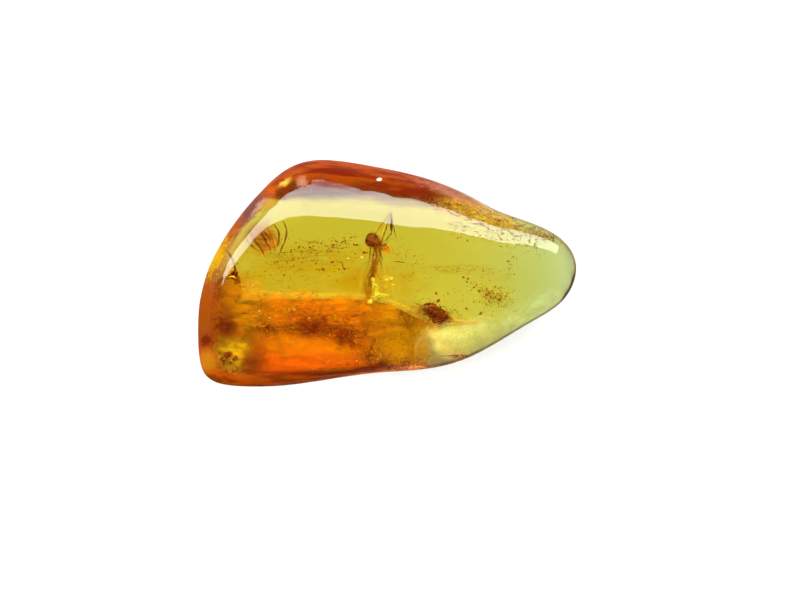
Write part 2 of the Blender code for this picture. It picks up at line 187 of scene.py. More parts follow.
# Veins of a wing: points as (share of the wing's length, share of the half chord, in front positive).
WING_VEINS = (
    ((0.0, 0.0), (0.3, 0.75), (0.6, 0.9), (0.9, 0.85), (1.0, 0.2)),
    ((0.0, 0.0), (0.25, 0.35), (0.55, 0.5), (0.85, 0.6)),
    ((0.2, 0.2), (0.5, 0.15), (0.75, 0.1), (0.97, 0.0)),
    ((0.55, 0.15), (0.75, -0.2), (0.93, -0.45)),
    ((0.0, 0.0), (0.25, -0.25), (0.5, -0.45), (0.8, -0.75)),
    ((0.25, -0.25), (0.4, -0.6), (0.55, -0.9)),
)

# Crumbs of bark, as in the solids: centre, half sizes, turn about Z and the seed of their lumps.
CRUMBS = {
    "bark_crumb_large": ((-6.57, -4.68, 6.85), (0.78, 0.48, 0.45), 0.25, 3),
    "bark_crumb_small": ((-3.87, -5.58, 6.80), (0.42, 0.34, 0.32), 1.1, 8),
    "bark_crumb_dark": ((-14.40, -4.60, 6.75), (0.68, 0.42, 0.40), 0.2, 5),
    "bark_curl": ((4.20, -3.70, 6.80), (0.92, 0.80, 0.50), 0.6, 12),
    "bark_splinter": ((6.95, -4.30, 6.75), (1.55, 0.30, 0.30), -0.06, 21),
}
CRUMB_ROUGHNESS = 0.28
# The curled crumb: its shavings and grains, how far they spread past the solid, their turn and outer limit.
CURL_STRANDS, CURL_GRAINS, CURL_REACH, CURL_TURN, CURL_LIMIT = 150, 300, (1.9, 1.0, 1.0), -0.5, 0.96
# The splinter's far end is dark from here to here along X.
SPLINTER_DARKENS = (8.0, 8.4)

# Trails of dust: from, to, how far they spread, how many grains, their smallest and largest half size, how
# deep under the top face the trail lies, from and to, and how drawn out its grains are.
DUST_TRAILS = (
    ((-8.0, 2.3), (-3.2, 2.7), 0.4, 110, 0.025, 0.075, 2.6, 4.2, 2.4),
    ((-10.6, 1.5), (-5.2, 1.9), 0.63, 190, 0.022, 0.070, 2.6, 4.6, 1.6),
    ((-11.3, -0.2), (-3.9, 0.1), 0.81, 120, 0.020, 0.060, 2.6, 5.0, 1.6),
    ((6.8, -0.6), (9.5, -2.2), 0.2, 60, 0.030, 0.085, 2.0, 3.0, 1.3),
    ((8.6, -2.1), (10.3, -2.4), 0.49, 260, 0.022, 0.070, 1.8, 3.2, 1.3),
    ((10.8, 1.7), (10.8, -0.4), 0.18, 34, 0.025, 0.055, 1.6, 2.2, 1.5),
    ((4.0, 6.1), (15.5, 2.9), 0.27, 600, 0.024, 0.080, 0.6, 1.6, 2.0),
    ((3.2, 6.4), (10.5, 4.4), 0.32, 900, 0.024, 0.085, 0.8, 1.9, 1.6),
    ((5.6, 4.2), (14.4, 2.6), 0.54, 380, 0.022, 0.070, 0.5, 1.6, 1.5),
    ((4.0, 0.4), (9.2, 0.1), 0.27, 60, 0.016, 0.040, 3.0, 4.4, 4.5),
    ((-11.9, -3.5), (-7.9, -3.9), 0.54, 150, 0.022, 0.080, 2.4, 4.4, 1.3),
    ((-11.7, -4.7), (-7.9, -5.0), 0.27, 120, 0.022, 0.070, 2.4, 4.4, 2.6),
    ((-7.9, -3.5), (-3.9, -5.3), 0.63, 240, 0.022, 0.085, 2.2, 4.4, 1.3),
    ((-5.2, -5.1), (-1.4, -7.1), 0.63, 280, 0.022, 0.085, 2.2, 4.4, 1.3),
    ((-3.0, -6.5), (1.3, -7.8), 0.4, 170, 0.022, 0.080, 1.8, 4.0, 1.4),
    ((0.7, -7.5), (7.4, -7.9), 0.22, 300, 0.022, 0.085, 1.2, 2.6, 2.4),
    ((5.2, -7.3), (7.4, -7.3), 0.06, 60, 0.025, 0.060, 0.7, 1.1, 3.0),
    ((0.9, -4.0), (5.2, -4.6), 0.54, 240, 0.022, 0.070, 3.0, 4.6, 1.5),
    ((2.4, -6.0), (4.3, -7.1), 0.63, 110, 0.020, 0.060, 2.0, 3.6, 1.3),
    ((-3.4, -3.5), (0.6, -5.6), 0.72, 260, 0.020, 0.060, 2.6, 4.6, 1.4),
    ((-15.8, -5.1), (-13.0, -7.1), 0.9, 50, 0.022, 0.070, 1.2, 1.9, 1.3),
    ((-15.8, -7.3), (-13.1, -9.1), 0.54, 30, 0.030, 0.100, 1.0, 1.7, 1.3),
    ((-14.7, -9.6), (-5.2, -9.4), 0.36, 110, 0.022, 0.075, 0.8, 2.0, 3.5),
    ((-7.9, -8.4), (2.9, -7.9), 0.32, 120, 0.020, 0.060, 1.0, 2.2, 3.0),
    ((-13.3, 0.4), (-5.2, -2.4), 0.9, 120, 0.018, 0.050, 2.2, 5.0, 1.8),
    ((0.6, 2.1), (4.7, -2.4), 1.1, 110, 0.016, 0.045, 2.2, 5.0, 2.2),
    ((-3.4, 2.1), (1.1, -2.4), 1.3, 140, 0.016, 0.050, 3.0, 5.4, 1.6),
    ((4.7, -2.4), (8.3, -3.5), 0.63, 60, 0.022, 0.060, 2.2, 3.6, 1.5),
    ((-14.9, -2.4), (13.7, -1.1), 2.7, 260, 0.012, 0.040, 1.8, 5.5, 1.5),
)
# Larger grains: place, half size, depth and how drawn out they are.
SPOTS = (
    ((6.6, -0.4), 0.1, 2.6, 1.2), ((6.9, -0.8), 0.11, 2.6, 1.3), ((7.5, -1.3), 0.13, 2.5, 1.3),
    ((8.0, -1.6), 0.12, 2.4, 1.4), ((8.7, -1.9), 0.12, 2.3, 1.2), ((9.5, -2.1), 0.14, 2.2, 1.2),
    ((9.9, -2.3), 0.13, 2.2, 1.2), ((9.2, -1.6), 0.08, 2.3, 1.2), ((10.0, -1.3), 0.08, 2.3, 1.4),
    ((6.8, -3.1), 0.09, 3.0, 1.5), ((8.1, -3.5), 0.11, 2.6, 2.0), ((4.3, -2.5), 0.13, 3.2, 1.6),
    ((4.1, -1.8), 0.1, 3.3, 1.5), ((11.1, 1.4), 0.07, 1.9, 1.6), ((10.6, 1.0), 0.07, 1.9, 1.5),
    ((10.7, 0.4), 0.07, 1.9, 1.5), ((10.5, -0.1), 0.07, 1.9, 1.8), ((11.2, -0.1), 0.06, 1.9, 1.6),
    ((-13.2, -5.4), 0.12, 2.4, 1.1), ((-14.2, -7.2), 0.31, 1.6, 1.6), ((-14.6, -7.6), 0.2, 1.5, 1.5),
    ((-13.6, -7.5), 0.22, 1.6, 1.3), ((-15.3, -7.6), 0.14, 1.5, 1.2), ((-14.9, -8.4), 0.14, 1.4, 1.1),
    ((-13.9, -7.9), 0.14, 1.5, 1.1), ((-14.4, -8.7), 0.13, 1.3, 1.1), ((-15.5, -8.0), 0.12, 1.3, 1.1),
    ((-13.7, -8.6), 0.14, 1.4, 1.2), ((-2.2, 1.8), 0.11, 3.4, 2.6), ((-1.4, 1.6), 0.11, 3.4, 1.3),
    ((-3.1, 2.5), 0.09, 3.2, 2.4), ((-5.8, 0.3), 0.12, 3.2, 1.4), ((-5.0, 1.0), 0.1, 3.2, 2.2),
    ((-1.3, -5.9), 0.14, 3.2, 1.4), ((-2.1, -7.6), 0.13, 2.4, 1.2), ((-1.1, -7.7), 0.14, 2.4, 1.6),
    ((-3.6, -8.0), 0.11, 2.6, 1.4), ((1.3, -7.8), 0.14, 1.9, 1.8), ((3.5, -6.3), 0.09, 2.6, 1.2),
    ((2.1, -6.3), 0.09, 2.6, 1.3), ((-10.8, -5.3), 0.13, 3.0, 1.6), ((-6.1, 0.3), 0.08, 3.4, 1.2),
    ((-9.2, -0.2), 0.09, 3.4, 1.3), ((-10.4, -0.2), 0.07, 3.4, 1.3), ((-4.0, 0.4), 0.09, 3.0, 1.6),
)
# Trails of bubbles: from, to, spread, count, smallest and largest radius, depth from and to.
BUBBLE_TRAILS = (
    ((-15.8, -7.1), (-13.3, -8.5), 0.45, 6, 0.05, 0.1, 1.2, 2.0),
    ((-11.7, -3.5), (-7.9, -3.9), 0.45, 14, 0.03, 0.08, 2.0, 3.2),
    ((-7.9, -3.8), (-1.6, -6.5), 0.63, 20, 0.03, 0.09, 2.0, 3.2),
    ((-1.4, -6.9), (2.9, -7.6), 0.36, 12, 0.03, 0.08, 1.6, 2.8),
    ((8.1, -1.7), (10.5, -2.6), 0.45, 40, 0.03, 0.08, 1.6, 2.6),
    ((4.2, 6.0), (10.1, 4.4), 0.32, 60, 0.03, 0.07, 0.7, 1.5),
    ((2.8, -2.9), (5.6, -4.4), 0.36, 24, 0.03, 0.08, 2.6, 3.4),
    ((-11.5, -1.1), (11.9, 2.1), 2.2, 40, 0.02, 0.05, 1.8, 4.6),
)
# Larger bubbles: place, radius and depth.
BUBBLES = (
    ((-15.2, -7.9), 0.21, 1.6), ((-14.4, -8.1), 0.18, 1.6), ((-14.1, -8.5), 0.15, 1.5),
    ((-13.6, -8.3), 0.18, 1.6), ((-14.8, -8.7), 0.16, 1.4), ((-15.8, -8.3), 0.14, 1.3),
    ((-13.9, -8.9), 0.12, 1.3), ((-15.0, -7.4), 0.14, 1.8), ((-13.3, -7.6), 0.11, 1.8),
    ((10.1, -2.8), 0.12, 2.0),
)
# Threads and creases: the points they pass through, depth and radius.
STROKES = (
    (((-7.7, 6.8), (-7.5, 6.1), (-7.1, 5.2)), 0.8, 0.03),
    (((-16.4, -8.3), (-15.9, -8.5), (-15.5, -8.8)), 0.9, 0.05),
    (((-9.2, -4.8), (-8.5, -4.7), (-7.6, -4.8)), 3.0, 0.07),
    (((4.5, -7.3), (6.0, -7.2), (7.4, -7.2)), 0.8, 0.045),
    (((-14.4, 1.8), (-13.9, 1.7), (-13.5, 1.0), (-13.4, 0.2), (-13.5, -0.6)), 2.4, 0.085),
    (((-9.3, 4.5), (-9.0, 3.8), (-9.1, 3.0), (-9.4, 2.3), (-9.7, 1.6)), 2.6, 0.085),
    (((-10.1, 4.2), (-9.7, 3.6), (-9.7, 2.9), (-9.9, 2.2)), 2.6, 0.09),
    (((-11.9, 3.4), (-11.6, 2.7), (-11.2, 2.1), (-10.9, 1.4)), 2.6, 0.075),
    (((-11.2, 3.8), (-10.9, 2.9), (-10.5, 2.3), (-10.4, 1.8)), 2.6, 0.06),
    (((-10.7, 4.0), (-10.3, 3.1), (-10.1, 2.4), (-10.1, 1.9)), 2.6, 0.045),
    (((-12.2, 3.1), (-12.1, 2.5), (-11.6, 2.1)), 2.6, 0.045),
    (((0.0, 3.2), (-0.2, 3.0), (-0.4, 2.7)), 4.0, 0.05),
    (((-1.0, 2.1), (-0.9, 1.7), (-0.6, 1.3)), 4.3, 0.055),
    (((0.3, 1.0), (0.9, 1.0), (1.5, 0.9)), 3.6, 0.04),
    (((8.4, -6.0), (9.0, -5.8), (9.8, -5.6)), 1.4, 0.022),
    (((10.8, -5.1), (10.9, -4.8), (11.2, -4.3)), 1.2, 0.03),
    (((-4.7, 1.0), (-4.2, 0.9), (-4.1, 0.3)), 3.2, 0.04),
    (((-7.9, 3.0), (-6.8, 2.7), (-5.9, 2.7)), 3.2, 0.022),
    (((-5.8, 2.4), (-4.5, 2.2), (-3.2, 2.3)), 3.0, 0.022),
    (((-7.6, 8.4), (-7.0, 7.6), (-6.8, 6.9)), 0.5, 0.05),
    (((2.7, -3.3), (3.1, -2.8), (3.8, -2.7), (4.3, -3.1)), 4.0, 0.085),
    (((2.9, -3.9), (3.2, -3.2), (3.8, -3.2), (4.0, -3.7)), 3.9, 0.075),
    (((3.3, -4.3), (3.7, -3.8), (4.3, -4.0), (4.8, -4.5)), 3.8, 0.09),
    (((3.8, -4.7), (4.4, -4.3), (5.1, -3.8)), 3.8, 0.08),
    (((4.0, -3.2), (4.6, -3.2), (5.1, -3.5)), 3.9, 0.055),
    (((2.4, -4.0), (3.0, -4.3), (3.6, -4.4)), 3.9, 0.06),
    (((2.1, -2.6), (2.5, -2.8), (3.0, -3.0)), 4.0, 0.045),
    (((3.8, -3.7), (4.5, -4.0), (5.2, -4.7)), 3.8, 0.085),
    (((3.0, -2.8), (3.5, -3.2), (4.5, -2.9)), 3.9, 0.07),
    (((-16.6, -5.9), (-15.9, -6.0), (-15.2, -6.3)), 1.2, 0.07),
    (((-12.2, 2.7), (-11.9, 2.2), (-11.3, 1.8)), 2.7, 0.03),
)
# Thin cracks that shine where they tilt: centre, half sizes, turn about Z, tilt and its direction, depth
# under the top face, number of ribs and their height.
CRACKS = (
    ((-10.7, 3.1), (0.80, 0.60), 0.6, 0.35, 2.4, 2.9, 9, 0.05),
    ((-0.14, -0.54), (0.34, 0.24), 0.3, 0.35, 1.2, 4.6, 4, 0.03),
    ((-1.20, -2.07), (0.28, 0.34), 0.6, 0.35, 0.8, 4.5, 4, 0.03),
    ((-8.9, -3.3), (0.30, 0.22), 0.4, 0.50, 1.0, 2.6, 3, 0.02),
    ((-4.9, -3.9), (0.32, 0.24), 0.2, 0.50, 1.3, 2.6, 3, 0.02),
)
CRACK_GAP, CRACK_COLUMNS, CRACK_ROWS = 0.02, 40, 9
# Stains, the layers where one flow of resin covered the last: centre, half sizes, turn about Z, depth, the
# tint that they give what is seen through them, the size of their clouds along and across, and how patchy.
STAINS = {
    "warm_middle": ((-7.9, -0.1), (12.2, 3.6), 0.0, 4.9, (1.0, 0.78, 0.02), 6.0, 1.4, 0.3),
    "warm_gnat": ((-0.7, -1.1), (5.4, 2.3), 0.0, 5.2, (1.0, 0.8, 0.12), 5.0, 1.0, 0.4),
    "warm_left": ((-14.8, -1.7), (3.1, 4.0), 0.1, 4.0, (0.94, 0.62, 0.06), 2.0, 1.5, 0.3),
    "orange_spot": ((-15.2, 0.3), (0.9, 1.2), 0.1, 2.2, (0.92, 0.34, 0.04), 1.0, 1.0, 0.2),
    "dark_blot": ((-14.6, -4.6), (1.3, 0.9), 0.1, 2.7, (0.75, 0.36, 0.1), 1.0, 0.6, 0.35),
    "dark_blot_halo": ((-14.9, -4.9), (2.3, 1.6), 0.1, 3.4, (0.88, 0.6, 0.2), 1.4, 0.7, 0.4),
    "rim_blot": ((-16.1, -6.3), (1.2, 0.72), -0.3, 1.3, (0.3, 0.05, 0.03), 0.8, 0.5, 0.25),
    "round_blot": ((-12.2, -8.1), (1.1, 1.3), 0.0, 1.9, (0.42, 0.12, 0.03), 1.2, 1.2, 0.35),
    "small_blot": ((-11.0, -7.6), (0.63, 0.54), 0.0, 1.9, (0.36, 0.1, 0.03), 0.5, 0.5, 0.35),
    "fan": ((-10.9, 3.0), (1.7, 1.5), 0.55, 2.4, (0.74, 0.36, 0.04), 2.2, 0.2, 0.6),
    "fan_halo": ((-11.3, 3.3), (2.2, 1.1), 0.55, 3.1, (0.9, 0.66, 0.2), 2.0, 0.6, 0.4),
    "straw": ((6.0, 0.3), (4.3, 0.63), 0.0, 3.6, (0.9, 0.8, 0.42), 4.0, 0.2, 0.85),
    "straw_left": ((-7.9, 1.3), (5.0, 1.4), 0.0, 3.4, (0.86, 0.76, 0.3), 4.0, 0.25, 0.85),
    "right_cell": ((9.2, -1.3), (2.3, 2.3), 0.0, 3.0, (1.0, 0.93, 0.58), 2.0, 1.5, 0.35),
    "shoulder_dust": ((7.7, 5.1), (5.2, 0.99), -0.27, 1.4, (0.84, 0.6, 0.18), 2.0, 0.22, 0.75),
    "shoulder_edge": ((11.9, 3.6), (4.7, 0.45), -0.24, 0.9, (0.8, 0.58, 0.26), 2.0, 0.15, 0.6),
    "red_rim": ((-8.6, -9.5), (6.3, 0.54), 0.05, 1.2, (0.66, 0.28, 0.08), 3.5, 0.22, 0.75),
    "near_tip_veil": ((8.8, -5.5), (2.3, 0.9), 0.35, 1.8, (0.93, 0.93, 0.62), 2.0, 0.4, 0.6),
}
# Clouds of the finest dust: as for the stains, with how thick they are at the end.
CLOUDS = {
    # The next five bright orange drifts under the near side are fine dust and also painted light: they stand
    # in for the glow that the amber reflects inside itself there.
    "orange_glow_cloud": ((-6.3, -7.1), (8.3, 2.5), -0.03, 5.0, (1.0, 0.235, 0.004), 5.0, 0.5, 0.15, 1.0),
    "red_glow_cloud": ((-9.4, -9.1), (6.3, 1.2), 0.03, 3.2, (0.66, 0.075, 0.002), 4.0, 0.22, 0.65, 0.9),
    "lower_glow_cloud": ((-7.9, -8.3), (9.0, 1.8), 0.0, 3.6, (1.0, 0.17, 0.003), 4.0, 0.3, 0.25, 1.0),
    "mottled_glow_cloud": ((-6.8, -3.5), (8.3, 2.4), -0.04, 4.4, (1.0, 0.33, 0.004), 2.4, 0.5, 0.3, 1.0),
    "bright_glow_cloud": ((-6.3, -6.9), (7.2, 2.3), -0.06, 3.9, (1.0, 0.29, 0.003), 3.0, 0.4, 0.15, 1.0),
    "gold_cloud": ((0.7, -5.4), (5.4, 2.6), -0.12, 4.7, (0.78, 0.38, 0.004), 3.0, 0.6, 0.25, 0.95),
    "join_cloud": ((-0.7, -3.5), (4.0, 1.7), -0.15, 4.5, (0.85, 0.4, 0.004), 2.4, 0.5, 0.35, 0.95),
    "gold_edge": ((3.2, -5.8), (1.6, 2.0), 0.1, 3.4, (0.85, 0.42, 0.006), 1.6, 0.6, 0.35, 0.9),
    "left_cloud": ((-14.8, -4.7), (3.8, 5.4), 0.06, 4.4, (0.8, 0.27, 0.002), 2.0, 0.8, 0.4, 0.95),
    "left_join": ((-13.0, -3.1), (3.1, 3.6), 0.1, 3.4, (0.84, 0.33, 0.003), 2.4, 0.6, 0.5, 0.8),
    "left_rust": ((-15.8, -2.4), (1.6, 3.6), 0.08, 2.6, (0.8, 0.17, 0.002), 2.0, 0.8, 0.6, 0.85),
    "round_haze": ((-11.9, -8.0), (1.6, 1.8), 0.0, 1.7, (0.36, 0.055, 0.002), 0.6, 0.5, 0.45, 0.8),
    "wedge_veil": ((7.0, -6.0), (5.4, 2.4), 0.15, 1.2, (1.0, 0.97, 0.5), 3.0, 1.2, 0.1, 0.9),
    "tip_veil": ((12.1, -4.0), (5.6, 1.8), 0.52, 1.1, (1.0, 1.0, 0.66), 5.0, 2.0, 0.5, 0.55),
    "fan_veil": ((-11.0, 2.9), (1.6, 1.5), 0.55, 3.0, (0.95, 0.36, 0.004), 2.0, 0.16, 0.45, 0.95),
    "arc_veil": ((-14.6, 0.3), (1.3, 1.8), 0.1, 2.9, (0.85, 0.34, 0.008), 1.5, 0.8, 0.3, 0.7),
    "corner_cloud": ((-14.6, -7.9), (3.4, 2.7), 0.0, 1.9, (1.0, 0.6, 0.014), 1.2, 0.5, 0.5, 1.0),
    "debris_haze": ((-5.7, -4.2), (7.0, 2.2), -0.16, 3.5, (0.6, 0.062, 0.002), 0.6, 0.22, 1.0, 0.65),
    "clump_haze": ((-6.7, -4.7), (1.8, 1.3), 0.1, 3.4, (0.24, 0.02, 0.001), 0.5, 0.3, 0.6, 0.95),
    "clump_haze_right": ((-4.0, -5.5), (1.3, 0.99), -0.2, 3.3, (0.28, 0.026, 0.001), 0.5, 0.3, 0.7, 0.9),
    "blob_haze": ((-14.5, -4.6), (1.6, 1.2), 0.1, 2.9, (0.36, 0.06, 0.002), 1.0, 0.6, 0.45, 0.8),
    "belt_haze": ((3.3, -3.9), (3.6, 1.4), -0.1, 3.9, (0.5, 0.17, 0.004), 1.2, 0.3, 0.75, 0.7),
    "splinter_drift": ((6.6, -4.7), (2.3, 0.81), -0.04, 2.9, (0.82, 0.52, 0.03), 2.4, 0.3, 0.4, 0.75),
    "head_fuzz": ((-0.3, 2.0), (0.72, 0.63), 0.2, 3.9, (0.85, 0.38, 0.015), 0.3, 0.25, 0.6, 0.85),
    "thorax_haze": ((-1.3, 2.7), (1.1, 0.9), -0.5, 3.7, (0.3, 0.06, 0.002), 0.5, 0.3, 0.5, 0.55),
    "sail": ((-0.7, 3.8), (0.72, 0.36), 0.9, 3.7, (0.85, 0.45, 0.06), 0.6, 0.3, 0.4, 0.4),
    "waist_haze": ((-1.3, 0.6), (0.54, 1.2), -0.15, 3.8, (0.42, 0.12, 0.004), 0.5, 0.3, 0.5, 0.7),
    "tail_haze": ((-2.0, -1.2), (0.63, 1.4), -0.15, 3.9, (0.62, 0.3, 0.01), 0.4, 0.6, 0.6, 0.5),
    "tail_glow": ((-0.5, -1.5), (1.5, 1.5), 0.3, 4.7, (1.0, 0.74, 0.06), 0.8, 0.3, 0.85, 0.55),
    "spot_right": ((9.1, -2.1), (1.8, 0.99), -0.2, 2.7, (0.8, 0.6, 0.05), 0.4, 0.3, 0.9, 0.5),
    "shoulder_gold": ((8.5, 5.0), (5.8, 0.99), -0.27, 1.0, (0.82, 0.5, 0.05), 0.6, 0.2, 0.65, 0.85),
}
# Flakes painted pale yellow to near white, as painted glints that stand in for the light that splits in the
# resin reflect: centre, half sizes, turn and depth.
FLAKES = (
    ((-0.2, -0.5), (0.4, 0.23), 0.1, 4.2), ((-1.3, -1.3), (0.27, 0.29), 0.2, 4.2),
    ((-1.2, -2.1), (0.38, 0.32), 0.3, 4.2), ((-0.4, -2.0), (0.63, 0.18), 0.0, 4.2),
    ((-1.8, -2.6), (0.23, 0.18), 0.6, 4.2), ((-1.5, -0.7), (0.14, 0.23), 0.2, 4.3),
    ((-2.5, 1.4), (0.11, 0.07), 0.0, 4.3), ((-3.7, 1.3), (0.08, 0.08), 0.0, 4.2),
    ((0.3, -1.0), (0.13, 0.09), 0.3, 4.3), ((10.1, -2.8), (0.18, 0.14), 0.5, 2.1),
    ((-8.3, -3.3), (0.08, 0.04), 0.2, 3.2), ((-8.6, -3.7), (0.07, 0.04), 0.9, 3.2),
    ((-11.4, -3.4), (0.04, 0.07), 0.3, 3.2), ((-10.5, -4.0), (0.07, 0.04), 0.2, 3.2),
    ((-7.0, -4.0), (0.06, 0.04), 0.5, 3.2), ((-11.1, -3.8), (0.05, 0.04), 0.7, 3.2),
    ((-8.8, -3.2), (0.05, 0.04), 0.1, 3.2), ((-8.0, -3.5), (0.04, 0.04), 0.6, 3.2),
    ((-10.6, 2.8), (0.08, 0.16), 0.3, 2.5), ((-11.9, -1.3), (0.11, 0.07), 0.1, 3.6),
)
# A flake's thickness, as a share of its width.
FLAKE_THICKNESS = 0.12
SHEET_COLUMNS, SHEET_ROWS, SHEET_RIPPLE = 90, 30, 0.12
# Towards the amber's surface a sheet fades out over this distance.
SHEET_FADE = 0.4

# Fibres: the middle of each group, its spread and depth, how many there are, their length and radius.
FIBRE_STEPS, FIBRE_CURL = 12, 3.0
FIBRE_GROUPS = (
    ((4.3, -3.6), (0.85, 0.45), 3.6, 46, 0.9, 0.018),
    ((-6.4, -4.6), (1.4, 0.5), 3.6, 30, 0.7, 0.014),
    ((-1.2, -6.8), (1.6, 0.5), 2.8, 22, 0.7, 0.014),
    ((-9.6, -3.9), (1.0, 0.4), 3.0, 16, 0.6, 0.013),
    ((-3.2, 1.4), (1.6, 0.8), 3.6, 14, 0.5, 0.011),
    ((1.6, 0.8), (0.8, 0.9), 4.2, 12, 0.8, 0.010),
    ((9.6, -2.2), (0.9, 0.5), 2.2, 10, 0.4, 0.011),
    ((5.6, -7.4), (1.3, 0.2), 2.0, 14, 0.7, 0.016),
)
STAR_HAIRS = ((-5.6, 0.2), (-8.3, -0.9), (2.4, -1.6), (7.6, -1.2), (-2.6, -4.2), (-11.4, -1.2), (11.3, 1.2))
STAR_HAIR_DEPTH, STAR_HAIR_REACH, STAR_HAIR_RADIUS, STAR_HAIR_RAYS = 3.4, 0.16, 0.008, 7

# The camera looks straight down from this far up, and the picture is this wide at the stone.
CAMERA_HEIGHT, FRAME_WIDTH = 450.0, 72.0
CAMERA_AIM = (1.08, -2.43, 8.0)
SENSOR_WIDTH = 36.0
# The floor's half size and how far it lies under the stone, in metres, and the half sizes of the painted
# shadow on it.
FLOOR_HALF_SIZE, FLOOR_DROP, FLOOR_SHADE = 4.0, 0.00005, 0.05
SHADE_RADII, SHADE_EDGE = (0.0165, 0.0095), (0.75, 1.10)
# How often light is followed through or off a surface.
CLEAR_BOUNCES, GLOSSY_BOUNCES = 16, 8


def colour(name, description, default):
    """A colour that the user can change."""
    return FloatVectorProperty(
        name=name, description=description, default=default, size=3, min=0.0, max=1.0, subtype="COLOR"
    )


def number(name, description, default, **more):
    """A number that the user can change."""
    return FloatProperty(name=name, description=description, default=default, **more)


def angle(name, description, degrees):
    """An angle that the user can change."""
    return number(name, description, math.radians(degrees), subtype="ANGLE", unit="ROTATION")


class NuggetSettings(bpy.types.PropertyGroup):
    """The clear amber."""

    clear_tint: colour("Clear tint", "Tint of the polished skin", (0.93, 1.0, 0.92))
    tip_tint: colour("Tip tint", "Tint of the thin, pale tip", (0.74, 0.94, 1.0))
    rind_tint: colour("Rind tint", "Tint of the weathered rind round the sides", (0.58, 0.10, 0.002))
    rind_streaks: colour("Rind streaks", "Tint of the rind's darker streaks", (0.34, 0.03, 0.001))
    crust: colour("Crust", "Colour of the dull crust over the rind", (0.150, 0.022, 0.001))
    broad_crust: colour("Crust at the broad end", "Colour of the crust there", (0.150, 0.031, 0.001))
    # The near side's crust is painted far paler than the crust elsewhere, to make up for the weaker light
    # that reaches it there: painted light.
    near_crust_painted_light: colour("Crust on the near side", "Colour of the crust there", (0.80, 0.13, 0.001))
    crust_streaks: colour("Crust streaks", "Colour of the crust's darker streaks", (0.075, 0.006, 0.001))
    rim_tint: colour("Rim tint", "Tint of the thin, dark line round the edge", (0.55, 0.48, 0.30))
    rim_line: colour("Rim line", "Colour of the matt line round the tip", (0.11, 0.092, 0.030))
    speck: colour("Specks", "Colour of the specks on the shoulder's skin", (0.040, 0.018, 0.004))
    crust_share: number("Crust", "How much of the rind the crust covers", 0.8, min=0.0, max=1.0)
    red_absorbed: number("Red absorbed", "Share of red light lost per metre", 8.0, min=0.0)
    green_absorbed: number("Green absorbed", "Share of green light lost per metre", 28.0, min=0.0)
    blue_absorbed: number("Blue absorbed", "Share of blue light lost per metre", 272.0, min=0.0)
    rind_roughness: number("Rind roughness", "Roughness of the unpolished skin", 0.5, min=0.0, max=1.0)
    waviness: number("Waviness", "Height of the polish's slow waves, in millimetres", 0.02, min=0.0)
    seed: IntProperty(name="Seed", description="Seed of the bubbles and cracks", default=11)


class GnatSettings(bpy.types.PropertyGroup):
    """The gnat."""

    chitin: colour("Chitin", "Colour of the thorax", (0.11, 0.009, 0.001))
    pale_chitin: colour("Pale chitin", "Colour of the thin, worn chitin", (0.30, 0.055, 0.004))
    head: colour("Head", "Colour of the pale, downy head", (0.72, 0.36, 0.03))
    eye: colour("Eye", "Colour of the compound eyes", (0.20, 0.045, 0.008))
    cleared: colour("Cleared chitin", "Colour of the limbs that resin has cleared", (0.42, 0.25, 0.03))
    shin: colour("Fore shin", "Colour of the stout fore shin", (0.035, 0.018, 0.003))
    membrane: colour("Wing membrane", "Tint of the wing's thin skin", (0.90, 0.66, 0.16))
    hair_length: number("Hair length", "Length of the longest bristle, in millimetres", 0.26, min=0.0)
    hairs: IntProperty(name="Hairs", description="Bristles on the thorax and head", default=420, min=0)
    seed: IntProperty(name="Seed", description="Seed of the bristles", default=5)


class BarkSettings(bpy.types.PropertyGroup):
    """The crumbs of bark."""

    dark: colour("Dark bark", "Colour in the pits", (0.13, 0.010, 0.001))
    light: colour("Light bark", "Colour on the raised parts", (0.50, 0.075, 0.004))
    resinous: colour("Resinous wood", "Colour of the splinter, soaked with resin", (0.68, 0.40, 0.030))
    splinter_end: colour("Splinter's end", "Colour of the splinter's dark end", (0.09, 0.055, 0.003))
    grains: IntProperty(name="Grains", description="Loose grains round each crumb", default=70, min=0)
    seed: IntProperty(name="Seed", description="Seed of the grains", default=23)


class DustSettings(bpy.types.PropertyGroup):
    """The dust, fibres and hairs."""

    dark: colour("Dark dust", "Colour of the darkest grains", (0.13, 0.011, 0.001))
    light: colour("Light dust", "Colour of the palest grains", (0.55, 0.095, 0.004))
    # The golden grains are painted glints: grains painted bright to stand in for the light that bubbles and
    # specks catch.
    gold: colour("Golden dust", "Colour of the grains that catch the light", (0.95, 0.50, 0.03))
    fibre: colour("Fibre", "Colour of the plant fibres", (0.32, 0.060, 0.003))
    share: number("Share", "Share of the grains that are made", 1.0, min=0.0)
    seed: IntProperty(name="Seed", description="Seed of the places", default=41)


class StainSettings(bpy.types.PropertyGroup):
    """The layers of stained resin."""

    strength: number("Strength", "How strongly the stains tint", 1.0, min=0.0, max=1.0)


